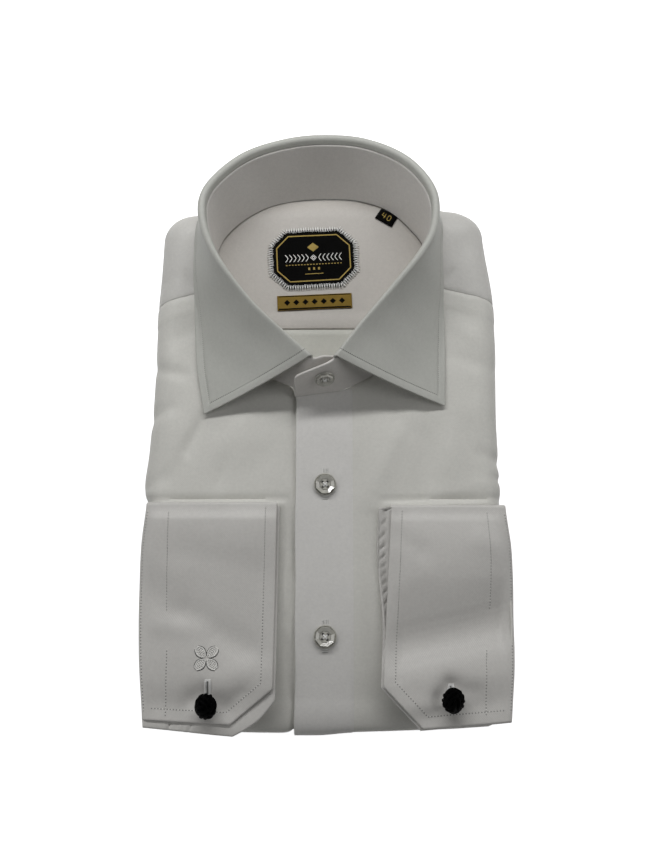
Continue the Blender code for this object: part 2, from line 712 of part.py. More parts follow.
def make_cuff(cuff):
    """Two leaves joined by the fold at the top, open at the bottom."""
    grid = []
    for step in range(CUFF_ACROSS + 1):
        across = step / CUFF_ACROSS
        full = math.sin(math.pi * across)
        column = []
        for level in CUFF_LEVELS[::-1]:
            x, y = cuff_outline(cuff, across, level, UNDER_LEAVES[cuff.name])
            column.append((x, y, crown(x, y) + cuff_lift(y)))
        top_x, top_y = cuff_outline(cuff, across, 0.0)
        half = (CUFF_SPACE + CUFF_CLOTH) / 2.0
        middle = crown(top_x, top_y) + cuff_lift(top_y) + half
        for angle in CUFF_FOLD_ANGLES:
            turn = math.radians(angle)
            column.append((top_x, top_y + half * math.sin(turn), middle - half * math.cos(turn)))
        for level in CUFF_LEVELS:
            x, y = cuff_outline(cuff, across, level)
            open_up = CUFF_FULLNESS * full * math.sin(math.pi * min(1.0, level * 0.9 + 0.1))
            z = crown(x, y) + cuff_lift(y) + 2.0 * half + open_up
            column.append((x, y, z))
        grid.append(column)
    if cuff.side > 0:
        grid = grid[::-1]
    made = make_wall(cuff.name, grid, CUFF_CLOTH, COTTON)
    knot_x, knot_y = KNOT_PLACES[cuff.name]
    low = knot_y - LINK_SLOTS[cuff.name].below
    high = knot_y + LINK_SLOTS[cuff.name].above
    left, right = knot_x - SLOT_WIDTH / 2.0, knot_x + SLOT_WIDTH / 2.0
    slot = [(left, low), (right, low), (right, high), (left, high)]
    boolean(made, make_prism(cuff.name + "_slot", slot, SLOT_LOW, GUIDE_HIGH), "DIFFERENCE")


def make_sleeve(cuff):
    """The strip of sleeve from the cuff's seam round the side of the stack."""
    rows = curve_through(SLEEVE_SECTION, 2)
    grid = []
    for step in range(SLEEVE_ALONG + 1):
        y = mix(SLEEVE_BOTTOM, SLEEVE_TOP, step / SLEEVE_ALONG)
        side = side_at(y)
        half = side.right_half if cuff.side < 0 else side.left_half
        seam = cuff_seam(cuff, (y - cuff.top_y) / (cuff.low_y - cuff.top_y))
        seam = max(seam, half + SLEEVE_CLEAR)
        lift = CUFF_RISE * ease(-y, -CUFF_RISE_START, -CUFF_RISE_END)
        section = []
        for out, z in rows:
            share = (z - rows[-1][1]) / (rows[0][1] - rows[-1][1])
            section.append((cuff.side * (seam + out), y, z + lift * share ** 2))
        grid.append(section)
    make_wall(cuff.name.replace("cuff", "sleeve"), grid, SLEEVE_CLOTH, COTTON)


# ------------------------------------------------------ buttons, links, labels
def turned_solid(name, profile, sides, finish, stretch=1.0):
    """A turned solid about Z: the profile gives radius and height."""
    points, faces = [], []
    for radius, z in profile:
        for step in range(sides):
            angle = math.tau * (step + 0.5) / sides
            points.append((radius * math.cos(angle), radius * math.sin(angle) * stretch, z))
    for ring in range(len(profile) - 1):
        lower = [ring * sides + step for step in range(sides)]
        upper = [index + sides for index in lower]
        faces += ring_faces(upper, lower)
    top = (len(profile) - 1) * sides
    faces.append(tuple(range(sides))[::-1])
    faces.append(tuple(range(top, top + sides)))
    return make_object(name, points, faces, finish)


def make_button(name, diameter, place, outward):
    """A clear button: eight facets round a dished middle, four holes."""
    section = [(ring.radius * diameter / 2.0, ring.height * BUTTON_HEIGHT)
               for ring in BUTTON_SECTION]
    button = turned_solid(name, section, BUTTON_SIDES, CLEAR_RESIN)
    offset = BUTTON_HOLE_OFFSET * diameter / FRONT_BUTTON
    for index, (dx, dy) in enumerate(((-1, -1), (1, -1), (1, 1), (-1, 1))):
        hole = turned_solid(f"{name}_hole_{index + 1}",
                            ((BUTTON_HOLE / 2.0, -BUTTON_HEIGHT), (BUTTON_HOLE / 2.0, 2.0 * BUTTON_HEIGHT)),
                            BUTTON_HOLE_SIDES, None)
        hole.location = (dx * offset * MM, dy * offset * MM, 0.0)
        hole.parent = button
        boolean(button, hole, "DIFFERENCE")
    button.location = Vector(place) * MM
    button.rotation_euler = outward.to_track_quat("Z", "Y").to_euler()


def make_buttons():
    for index, y in enumerate(BUTTON_Y):
        z = stack_height(0.0, y, PLACKET_TOP + SEAM_GAP)
        make_button(f"front_button_{index + 1}", FRONT_BUTTON, (0.0, y, z), Vector((0.0, 0.0, 1.0)))
    first, second = BAND_FINISH[0], BAND_FINISH[1]
    share = (COLLAR_BUTTON_X - first.seam_x) / (second.seam_x - first.seam_x)
    foot = Vector((COLLAR_BUTTON_X, mix(first.seam_y, second.seam_y, share),
                   stack_height(COLLAR_BUTTON_X, first.seam_y, PLACKET_TOP + 0.8)))
    top = Vector((COLLAR_BUTTON_X, mix(first.top_y, second.top_y, share),
                  mix(first.top_z, second.top_z, share)))
    along = Vector((second.seam_x - first.seam_x, second.seam_y - first.seam_y, 0.0))
    outward = (top - foot).cross(along).normalized()
    place = foot.lerp(top, 0.48) + outward * (BAND_CLOTH / 2.0 + 0.45)
    make_button("collar_button", COLLAR_BUTTON, place, outward)


def make_knot(cuff):
    """A silk knot link: a ball over the cuff, a stem, a flat knot under it."""
    x, y = KNOT_PLACES[cuff.name]
    base = crown(x, y) + cuff_lift(y)
    half = (CUFF_SPACE + CUFF_CLOTH) / 2.0
    over = base + 2.0 * half + KNOT_FULLNESS + CUFF_CLOTH / 2.0 + SEAM_GAP
    under = base - CUFF_CLOTH / 2.0 - SEAM_GAP
    section = [(ring.radius * KNOT_RADIUS, under - ring.drop * FAR_KNOT_HEIGHT)
               for ring in FAR_KNOT_SECTION]
    section += [(KNOT_STEM, under), (KNOT_STEM, over)]
    for angle in KNOT_ANGLES:
        turn = math.radians(angle)
        z = over + KNOT_HEIGHT / 2.0 * (1.0 + math.sin(turn))
        section.append((KNOT_RADIUS * math.cos(turn), z))
    name = cuff.name.replace("cuff", "cuff_knot")
    knot = turned_solid(name, section, KNOT_SIDES, BLACK_SILK, KNOT_LONGER)
    knot.location = (x * MM, y * MM, 0.0)


def label_outline(label):
    """Corners of a label in plan, cut where it has cut corners."""
    half_w, half_h, cut = label.width / 2.0, label.height / 2.0, label.corner
    outline = []
    for side_x, side_y in ((1, -1), (1, 1), (-1, 1), (-1, -1)):
        ends = [(side_x * (half_w - cut), side_y * half_h), (side_x * half_w, side_y * (half_h - cut))]
        if cut == 0.0:
            ends = ends[:1]
        elif side_x * side_y > 0:
            ends = ends[::-1]
        outline += ends
    turn = math.radians(label.turn)
    return [(label.x + x * math.cos(turn) - y * math.sin(turn),
             label.y + x * math.sin(turn) + y * math.cos(turn)) for x, y in outline]


def make_label(name, label, finish):
    """A woven label lying on the inner yoke."""
    outline = label_outline(label)
    count = len(outline)
    points = []
    for lift in (PANEL_TOP + SEAM_GAP + LABEL_CLOTH, PANEL_TOP + SEAM_GAP):
        points.append((label.x, label.y, stack_height(label.x, label.y, lift)))
        points += [(x, y, stack_height(x, y, lift)) for x, y in outline]
    faces = []
    for index in range(count):
        here, after = 1 + index, 1 + (index + 1) % count
        faces.append((0, here, after))
        faces.append((count + 1, after + count + 1, here + count + 1))
        faces.append((here, here + count + 1, after + count + 1, after))
    return make_object(name, points, faces, finish)


# ------------------------------------------------------------------- the shirt
def build():
    for old in list(bpy.data.objects):
        bpy.data.objects.remove(old)
    hidden_layers()
    body_panels()
    collar_band()
    collar_leaf()
    for cuff in CUFFS:
        make_cuff(cuff)
        make_sleeve(cuff)
        make_knot(cuff)
    make_buttons()
    make_label("main_label", MAIN_LABEL, BLACK_SATIN)
    make_label("strip_label", STRIP_LABEL, GOLD_SATIN)
    make_label("size_tab", SIZE_TAB, BLACK_SATIN)


build()
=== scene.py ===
"""The looks of the folded dress shirt: cloth, sewing, buttons, knots and labels.

Sizes are in millimetres until a mesh is made. X runs towards the wearer's
left, Y up to the collar and Z up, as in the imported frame.
"""

import math
from collections import namedtuple

import bmesh
import bpy
import numpy as np
from mathutils import Euler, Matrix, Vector
from mathutils.bvhtree import BVHTree
from mathutils.geometry import delaunay_2d_cdt


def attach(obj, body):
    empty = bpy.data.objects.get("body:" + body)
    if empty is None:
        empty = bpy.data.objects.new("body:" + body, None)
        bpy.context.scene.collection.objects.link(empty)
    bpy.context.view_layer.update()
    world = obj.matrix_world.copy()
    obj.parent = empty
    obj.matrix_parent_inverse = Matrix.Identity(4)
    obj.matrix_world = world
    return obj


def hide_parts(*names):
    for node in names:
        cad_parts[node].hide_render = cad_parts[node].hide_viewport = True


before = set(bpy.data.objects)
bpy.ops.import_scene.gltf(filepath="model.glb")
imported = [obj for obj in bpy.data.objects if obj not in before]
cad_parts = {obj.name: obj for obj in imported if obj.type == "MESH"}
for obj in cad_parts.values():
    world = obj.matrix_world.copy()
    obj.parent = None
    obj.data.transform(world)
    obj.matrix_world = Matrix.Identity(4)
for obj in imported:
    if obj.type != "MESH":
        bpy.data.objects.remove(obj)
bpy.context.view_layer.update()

MM = 0.001


def table(kind, *rows):
    """Rows whose columns are named by their kind."""
    return [kind(*row) for row in rows]


CORNERS = ((-1, -1), (1, -1), (1, 1), (-1, 1))

# ------------------------------------------------------------ the folded stack
STACK_BOTTOM = -191.2
STACK_TOP = 156.0
SHOULDER_SLOPE = 0.0015
SHOULDER_TILT = 0.01
BOTTOM_SLOPE = 0.00035
CROWN = 26.0             # height of the hidden layers in the middle
CROWN_FALL = 1.6
LOWER_END_FALL = 8.5     # how far the fronts sink between the cuffs
RIM_HEIGHT = 14.5        # where the stack is widest
END_RIM = 18.0           # length of its rounding at the bottom and the shoulders
TUCK_RADIUS = 5.0
TUCK_TURN = math.radians(62)     # how far past upright the cloth turns under

PANEL_LIFT = 1.5         # top of a panel over the hidden layers
PLACKET_LIFT = 2.7
LOW_LIFT = 0.4           # underside of a panel

# Half widths of the stack up its length, and how wide its rounding is.
Side = namedtuple("Side", "y right_half left_half rim")
SIDES = table(
    Side,
    (-193, 102.5, 104.0, 9),
    (-172, 105.6, 107.0, 9),
    (-150, 107.6, 108.8, 9),
    (-100, 108.8, 109.4, 9),
    (-64, 109.3, 109.0, 9),
    (-56, 109.8, 109.3, 10),
    (-46, 114.0, 111.0, 12),
    (-20, 112.2, 110.6, 14),
    (15, 110.4, 110.5, 14),
    (85, 109.1, 110.8, 14),
    (124, 108.0, 106.3, 20),
    (157, 106.5, 104.5, 22),
)

# The edges of the layers under the front: how far in they lie, and height.
Layer = namedtuple("Layer", "inset z")
UNDER_LAYERS = table(
    Layer,
    (6.0, 9.4), (3.4, 8.9), (1.2, 8.4), (0.4, 7.2), (0.9, 5.8),
    (3.2, 5.0), (5.6, 4.75), (3.0, 4.4), (1.2, 3.9), (0.6, 2.9),
    (1.3, 1.7), (3.6, 1.1), (4.6, 0.9), (3.4, 0.6), (2.8, 0.0),
)

# Slow waves that keep pressed cloth from lying quite even.
Wave = namedtuple("Wave", "across along start height")
LOOSE_WAVES = table(
    Wave,
    (0.031, 0.017, 0.4, 0.15), (-0.022, 0.041, 1.9, 0.20), (0.058, -0.033, 3.1, 0.13),
    (0.083, 0.071, 0.7, 0.09), (-0.102, 0.049, 5.2, 0.08), (0.014, 0.092, 2.6, 0.10),
    (0.171, -0.108, 4.4, 0.035), (-0.143, -0.187, 1.2, 0.030),
)

# Soft folds of the fronts: a line, half its width and its height.
Fold = namedtuple("Fold", "x0 y0 x1 y1 width rise")
PRESSED_FOLDS = table(
    Fold,
    (-74, -4, -100, -34, 13, -0.9),
    (-92, 60, -98, 10, 12, -0.7),
    (78, 2, 58, -46, 13, -0.9),
    (92, -8, 104, -30, 13, -0.8),
    (94, 70, 98, 20, 12, -0.6),
    (-50, -16, -66, -50, 14, 0.7),
    (38, -12, 30, -50, 14, 0.6),
)
CREASES = table(
    Fold,
    # right front
    (-79, 1, -88, -20, 5, -1.3),
    (-90, -8, -97, -28, 7, 0.7),
    (-64, -28, -68, -46, 6, -0.9),
    (-100, 8, -116, 0, 6, -1.5),
    (-92, 30, -114, 36, 6, -1.2),
    (-104, -38, -118, -46, 6, -1.2),
    (-101, 50, -97, 24, 8, 0.6),
    (-30, -18, -60, -38, 16, -0.8),
    (-28, -60, -26, -150, 7, -0.8),
    (-21.4, -8, -22.6, -38, 2.6, -0.6),
    (-22.4, -50, -21.0, -84, 2.6, -0.8),
    (-21.0, -96, -23.0, -128, 2.8, -0.9),
    (-22.2, -140, -21.2, -172, 2.6, -1.0),
    (-25.5, -80, -24.5, -118, 2.4, 0.5),
    (-84, 60, -104, 52, 7, -0.5),
    (-46, 4, -60, -14, 9, 0.6),
    # left front
    (64, 4, 66, -46, 7, -1.1),
    (79, 4, 80, -46, 9, 1.0),
    (50, -4, 32, -44, 8, 0.9),
    (100, -22, 118, -29, 6, -1.5),
    (106, -37, 119, -39, 3.5, -1.3),
    (72, -48, 108, -40, 7, 0.6),
    (84, 42, 112, 34, 8, -0.8),
    (27, -62, 27, -150, 6, -0.8),
    (88, 62, 104, 52, 8, 0.6),
    (46, 2, 60, -12, 7, -0.5),
    # the shoulders
    (-92, 98, -86, 86, 5, -0.9),
    (-100, 98, -110, 90, 5, -0.6),
    (79, 94, 86, 102, 3, -1.0),
    (-98, 116, -90, 136, 8, 0.7),
    (90, 112, 100, 130, 9, -0.8),
    (-60, 150, -48, 174, 6, 0.8),
    (-20, 156, -26, 176, 5, -0.6),
    (30, 150, 44, 174, 7, -0.8),
    (88, 146, 80, 168, 6, 0.8),
    # where the cuffs' folds push the cloth up
    (-116, -51.4, -25, -51.2, 2.6, -1.5),
    (-114, -55.0, -26, -54.6, 1.8, 1.3),
    (36, -52.2, 114, -50.4, 2.6, -1.4),
    (38, -55.8, 114, -53.6, 1.8, 1.2),
)

# ------------------------------------------------------------------- the seams
SEAM_GAP = 0.3
PLACKET_RIGHT = -18.6
PLACKET_LEFT = 16.8
PLACKET_HEAD = ((16.65, 20.8), (8.0, 18.4), (0.0, 17.4), (-9.0, 16.1), (-18.45, 14.8))
UNDERLAP = 3.6           # of the right front under the placket
LEFT_UNDERLAP = 4.0      # of the left front under it
UNDER_YOKE = 1.8         # how far the fronts go under the outer yoke
# Doubled says how far below a seam the cloth has two layers.
Seam = namedtuple("Seam", "x0 y0 x1 y1 doubled")
YOKE_SEAM_RIGHT = Seam(-87.0, 84.0, -109.0, 78.0, 13.5)
YOKE_SEAM_LEFT = Seam(79.0, 88.0, 110.0, 81.0, 13.0)
YOKE_SEAM_END = 66.0
INNER_YOKE_SEAM = 60.0
NECK_POINTS = 129
FAR = 260.0              # past all of the cloth

# ------------------------------------------------------------------ the collar
Collar = namedtuple("Collar", "seam_x seam_y fold_x fold_y fold_z edge_x edge_y edge_z")
COLLAR = table(
    Collar,
    (-13.0, 19.4, -8.9, 33.4, 56.0, -77.2, 2.9, 30.6),
    (-37.5, 29.0, -26.5, 49.0, 58.0, -82.5, 33.0, 29.2),
    (-52.0, 50.0, -47.3, 68.9, 60.5, -84.6, 59.5, 28.7),
    (-65.5, 84.0, -68.0, 96.1, 64.0, -85.9, 85.0, 28.7),
    (-72.0, 112.0, -77.2, 120.7, 65.0, -86.4, 111.5, 28.2),
    (-62.5, 129.5, -75.3, 142.6, 63.2, -83.6, 140.6, 25.5),
    (-43.5, 144.5, -54.8, 165.8, 59.7, -63.6, 169.8, 14.0),
    (-22.0, 152.5, -27.7, 178.8, 55.8, -32.3, 184.9, 9.5),
    (0.0, 155.0, -0.7, 182.7, 54.8, -1.0, 190.0, 8.5),
    (22.0, 153.0, 27.5, 178.9, 56.2, 31.0, 185.2, 9.5),
    (42.0, 144.5, 53.2, 164.2, 60.2, 59.6, 171.2, 14.0),
    (58.5, 129.0, 68.6, 141.3, 63.7, 76.8, 141.2, 25.5),
    (67.5, 114.0, 69.0, 118.0, 65.0, 77.4, 114.0, 29.2),
    (66.0, 93.0, 60.9, 100.0, 64.0, 77.6, 86.0, 29.4),
    (56.5, 64.0, 41.6, 76.7, 60.5, 78.0, 62.0, 29.6),
    (39.0, 35.0, 21.0, 52.2, 58.0, 77.6, 34.0, 29.9),
    (10.0, 18.9, 6.8, 32.9, 57.0, 76.6, 8.2, 31.6),
)
LAST = len(COLLAR) - 1
ROLL_AT_BACK = 2.2
ROLL_AT_FRONT = 1.5
ROLL_DROP = 2.2
LEAF_SAG = -1.8
LEAF_CLEAR = 1.2         # of the leaf's middle above the panels below
LEAF_TIP_DROP = 3.5      # how far the free edge sinks onto the panels in front
LEAF_HALF = 0.60         # half the leaf's thickness
BAND_HALF = 0.9
BAND_ON_PLACKET = PLACKET_LIFT + 0.8
TOPSTITCH_IN = 5.2       # from a collar edge

BandEnd = namedtuple("BandEnd", "seam_x seam_y top_x top_y top_z")
BAND_START = table(
    BandEnd,
    (8.0, 21.9, 8.0, 34.4, 52.5),
    (-1.5, 20.6, -1.5, 33.8, 54.6),
)
BAND_FINISH = table(
    BandEnd,
    (0.5, 17.6, 0.5, 28.3, 56.4),
    (-9.0, 16.2, -9.0, 25.3, 53.4),
    (-16.2, 15.2, -16.2, 23.0, 50.8),
    (-18.8, 14.8, -18.8, 21.4, 47.6),
    (-19.3, 14.7, -19.3, 17.6, 37.6),
)
BAND_CREASES = table(
    Fold,
    (-4, 41, 9, 37, 1.1, -0.35), (-4, 39, 8, 32, 1.2, 0.30), (3, 44, 13, 43, 1.2, -0.30),
    (-7, 39, -13, 37, 1.3, -0.25), (-5, 48, -12, 49, 1.4, 0.2),
)
# Where the leaf's points lie closest together, towards its edge and its front ends.
NEAR_EDGE = (8.6, 7.2, 6.2, 5.7, 5.35, 5.05, 4.7, 4.1, 3.2, 2.2, 1.4, 0.9, 0.55, 0.3, 0.12, 0.0)
NEAR_FRONT = (0.0, 0.004, 0.011, 0.020, 0.032, 0.055, 0.090, 0.125, 0.150, 0.164, 0.175, 0.187,
              0.205, 0.235, 0.28, 0.34)
BAND_LEVELS = (0.0, 0.02, 0.06, 0.12, 0.2, 0.3, 0.4, 0.5, 0.6, 0.7, 0.78, 0.85, 0.9, 0.94, 0.97, 0.985, 1.0)

# ------------------------------------------------------------------- the cuffs
CUFF_REST = 0.5
CUFF_SPACE = 1.2
CUFF_HALF = 0.85
CUFF_ROUND = CUFF_SPACE / 2.0 + CUFF_HALF    # radius of the fold at the top
CUFF_RISE = 5.0
CUFF_RISE_START = 95.0
CUFF_RISE_END = 165.0
CUFF_WRAP = 2.3
CUFF_STITCH_IN = 6.9     # from a cuff edge
CORNER_LEVEL = 0.84      # where the cut corner starts on the way down

# How much of a leaf shows at the hand, below, beside its corner, and how round that corner is.
LeafShows = namedtuple("LeafShows", "hand below beside round")
FRONT_LEAF = LeafShows(0.0, 0.0, 0.0, 0.0)
HAND_SHIFT_START = 0.15
HAND_SHIFT_END = 0.62
UNDER_LEAF_SEAM = 0.65
UNDER_LEAF_LEVELS = (0.0, 0.3, 0.5, CORNER_LEVEL, 0.87, 0.90, 0.93, 0.965, 1.0)
UNDER_LEAF_CREASES = table(
    Fold,
    (-94, -191, -90, -184, 1.1, -0.9), (-82, -193, -78, -186, 1.1, -0.9), (-88, -192, -85, -186, 1.6, 0.5),
)

# Height of a cuff's front leaf on its way down from the fold, over an even one.
CuffRow = namedtuple("CuffRow", "down height")
Cuff = namedtuple(
    "Cuff", "name side outer_top outer_mid outer_low hand_top hand_low corner_y tip_x tip_y top_y low_y "
    "fullness under rows slant folds sleeve_line knot knot_tilt slot seed")
CUFFS = (
    Cuff(
        "cuff_right", side=-1, outer_top=110.0, outer_mid=110.9, outer_low=105.0, hand_top=29.8,
        hand_low=31.1, corner_y=-165.6, tip_x=55.9, tip_y=-186.1, top_y=-55.9, low_y=-183.4,
        fullness=2.2, under=LeafShows(0.0, 6.6, 1.5, 2.6), slant=0.0,
        rows=table(
            CuffRow,
            (55, 0.8), (60, 1.9), (66, 2.6), (76, 2.2), (90, 0.7), (106, -0.7), (120, -1.6), (135, -2.3),
            (150, -2.1), (164, -2.2), (174, -3.0), (179, -2.8), (184, -1.5), (190, 0.4), (204, 2.4)),
        folds=table(
            Fold,
            (-116, -86, -92, -98, 12, 0.7), (-84, -84, -42, -96, 14, -0.8), (-112, -108, -94, -118, 11, -0.5),
            (-84, -122, -38, -148, 13, -2.0), (-100, -129, -74, -131, 9, 1.0),
            (-66, -164, -38, -152, 12, 1.4),
            (-78, -171, -72, -168, 9, -2.4), (-58, -178, -50, -168, 7, -0.8)),
        sleeve_line=((-96.8, -59.0), (-96.2, -115.0), (-94.6, -140.0), (-94.0, -181.0)),
        knot=(-69.3, -174.9), knot_tilt=(0.5, 0.35), slot=14.0, seed=11),
    Cuff(
        "cuff_left", side=1, outer_top=111.2, outer_mid=112.6, outer_low=107.6, hand_top=41.0,
        hand_low=34.7, corner_y=-164.4, tip_x=57.6, tip_y=-188.5, top_y=-57.6, low_y=-184.4,
        fullness=3.2, under=LeafShows(6.0, 0.9, 1.5, 0.0), slant=0.22,
        rows=table(
            CuffRow,
            (55, 0.0), (64, 1.7), (72, 2.7), (80, 3.0), (88, 2.7), (96, 2.0), (104, 0.8), (112, -1.3),
            (120, -4.0), (127, -6.8), (132, -8.3), (136, -8.7), (140, -8.2), (145, -6.6), (151, -4.4),
            (157, -2.9), (164, -2.0), (173, -2.2), (179, -2.2), (185, -1.2), (191, 0.2), (204, 1.2)),
        folds=table(
            Fold,
            (96, -78, 114, -84, 11, 0.9), (44, -76, 58, -84, 9, -0.8), (46, -104, 62, -98, 10, 0.5),
            (69, -170, 74, -164, 8, -2.8), (74, -164, 88, -166, 8, -1.3), (42, -178, 61, -175, 9, 2.4)),
        sleeve_line=((100.4, -59.0), (101.2, -90.0), (100.6, -117.0), (96.2, -150.0), (94.6, -181.0)),
        knot=(74.7, -171.7), knot_tilt=(-0.4, 0.6), slot=8.0, seed=21),
)
# Shares of the way across and down a leaf, closer together at its edges and its row of stitches.
CUFF_ACROSS = np.concatenate([
    [0.0, 0.004, 0.01, 0.02], np.linspace(0.04, 0.86, 48),
    [0.875, 0.888, 0.898, 0.906, 0.914, 0.924, 0.938, 0.955, 0.97, 0.983, 0.990, 0.995, 0.998, 1.0]])
CUFF_DOWN = np.concatenate([
    [0.0, 0.02], np.linspace(0.04, 0.80, 104), [0.815, 0.828, CORNER_LEVEL, 0.852, 0.866, 0.88],
    [0.893, 0.903, 0.911, 0.918, 0.925, 0.934, 0.946, 0.96, 0.974, 0.985, 0.991, 0.996, 1.0]])
CUFF_TURNS = np.radians(np.linspace(0, 180, 13))[1:-1]

SleeveRow = namedtuple("SleeveRow", "out z")
SLEEVE_SECTION = table(
    SleeveRow,
    (0.3, 28.4), (0.9, 27.3), (1.2, 24.6), (1.3, 21.0),
    (1.1, 16.5), (0.5, 12.0), (-1.2, 8.9),
)
SLEEVE_CLEAR = 1.3
SLEEVE_TOP = -60.0
SLEEVE_BOTTOM = -182.0
SLEEVE_HALF = 0.7

# ------------------------------------------------------- buttons, knots, labels
FRONT_BUTTON = 14.2
COLLAR_BUTTON = 12.8
BUTTON_HEIGHT = 3.2
BUTTON_Y = (-42.5, -135.7)
COLLAR_BUTTON_X = -0.4
# The button's section, as shares of its radius and height. A faceted ring is an octagon.
ButtonRing = namedtuple("ButtonRing", "radius height faceted")
BUTTON_RINGS = table(
    ButtonRing,
    (0.43, 0.0, 0), (0.84, 0.0, 0), (0.95, 0.02, 0), (0.99, 0.08, 0), (1.0, 0.16, 0), (0.995, 0.26, 0),
    (0.975, 0.32, 0), (0.95, 0.33, 0), (0.915, 0.33, 0), (0.885, 0.12, 1), (0.862, 0.12, 1),
    (0.838, 0.80, 1), (0.815, 0.85, 1), (0.505, 0.505, 1), (0.495, 0.20, 1), (0.468, 0.20, 1),
    (0.455, 0.50, 1), (0.43, 0.50, 0),
)
BUTTON_HOLE = 0.205      # of the radius, each way from the middle
HOLE_RADIUS = 0.12       # of the button's radius
# A sewn thread across a button: shares of the way between two holes, and height.
THREAD_SHARES = 0.88 * np.array([-1.0, -0.95, -0.8, -0.4, 0.0, 0.4, 0.8, 0.95, 1.0])
THREAD_HEIGHTS = np.array([-1.3, -0.3, 0.18, 0.34, 0.40, 0.34, 0.18, -0.3, -1.3])

KNOT_RADIUS = 6.9
KNOT_LONGER = 1.14
KNOT_HEIGHT = 11.6
KNOT_FULLNESS = 0.5
KNOT_STEM = 1.0
KNOT_CORD = 1.22
FAR_KNOT_HEIGHT = 3.4

LABEL_LIFT = PANEL_LIFT + SEAM_GAP
LABEL_CLOTH = 0.9
Label = namedtuple("Label", "x y width height corner turn")
MAIN_LABEL = Label(-7.6, 109.0, 57.2, 40.6, 10.6, 3.0)
STRIP_LABEL = Label(-6.8, 78.7, 49.0, 10.2, 0.0, 2.4)
SIZE_TAB = Label(41.2, 138.5, 12.8, 8.9, 0.0, -31.0)


# --------------------------------------------------------------------- numbers
def mix(a, b, share):
    return a + (b - a) * share


def ease(value, start, end):
    """0 before start, 1 past end, smooth between."""
    share = np.clip((np.asarray(value, float) - start) / (end - start), 0.0, 1.0)
    return share * share * (3.0 - 2.0 * share)


def bell(distance, width):
    return np.exp(-2.0 * (distance / width) ** 2)


def through(places, values, at):
    """Values on the smooth curve through a table's rows, at each place."""
    places = np.asarray(places, float)
    values = np.asarray(values, float)
    at = np.clip(np.asarray(at, float), places[0], places[-1])
    last = len(places) - 1
    index = np.clip(np.searchsorted(places, at, side="right") - 1, 0, last - 1)
    share = (at - places[index]) / (places[index + 1] - places[index])
    share = share.reshape(share.shape + (1,) * (values.ndim - 1))
    before, start = values[np.maximum(index - 1, 0)], values[index]
    end, after = values[index + 1], values[np.minimum(index + 2, last)]
    slope_in, slope_out = (end - before) / 2.0, (after - start) / 2.0
    square, cube = share ** 2, share ** 3
    return ((2 * cube - 3 * square + 1) * start + (cube - 2 * square + share) * slope_in
            + (3 * square - 2 * cube) * end + (cube - square) * slope_out)


def rows_through(rows, count):
    """A table's rows, filled in to a count on the smooth curve through them."""
    return through(range(len(rows)), rows, np.linspace(0, len(rows) - 1, count))


def points_of(*axes):
    """Points from their X, Y and perhaps Z."""
    return np.stack(np.broadcast_arrays(*axes), axis=-1)


def unit(vectors):
    lengths = np.linalg.norm(vectors, axis=-1, keepdims=True)
    return vectors / np.maximum(lengths, 1e-9)


def turned_left(way):
    """Plan directions turned left by a quarter."""
    return points_of(-way[:, 1], way[:, 0])


def side_at(y):
    found = through([row.y for row in SIDES], [row[1:] for row in SIDES], y)
    return found[..., 0], found[..., 1], found[..., 2]


# ----------------------------------------------------------- form of the stack
def shoulder_fold(x):
    return STACK_TOP + SHOULDER_TILT * x - SHOULDER_SLOPE * x * x


def bottom_fold(x):
    return STACK_BOTTOM + BOTTOM_SLOPE * x * x


def folds_height(folds, x, y, tapered=False):
    """Height of soft folds at some places."""
    total = np.zeros(np.shape(x))
    for fold in folds:
        along_x, along_y = fold.x1 - fold.x0, fold.y1 - fold.y0
        share = ((x - fold.x0) * along_x + (y - fold.y0) * along_y) / (along_x ** 2 + along_y ** 2)
        nearest = np.clip(share, 0.0, 1.0)
        away = np.hypot(x - fold.x0 - along_x * nearest, y - fold.y0 - along_y * nearest)
        height = fold.rise * bell(away, fold.width)
        if tapered:
            height *= 0.35 + 0.65 * np.sin(math.pi * np.clip(0.12 + 0.76 * nearest, 0, 1))
        total += height
    return total


def crown(x, y):
    return CROWN - CROWN_FALL * (x / 100.0) ** 2 + folds_height(PRESSED_FOLDS, x, y)


def lowered_crown(x, y):
    """The stack's top under the fronts, which sink between the cuffs."""
    return crown(x, y) - LOWER_END_FALL * ease(-np.asarray(y, float), 100.0, 215.0)


def looseness(x, y):
    """The slight unevenness that all pressed cloth keeps."""
    return sum(wave.height * np.sin(wave.across * x + wave.along * y + wave.start) for wave in LOOSE_WAVES)


def quarter_turn(reach, rise):
    """Length of the cloth over a rounded edge, from level to upright."""
    return math.pi / 2.0 * np.sqrt((reach ** 2 + rise ** 2) / 2.0)


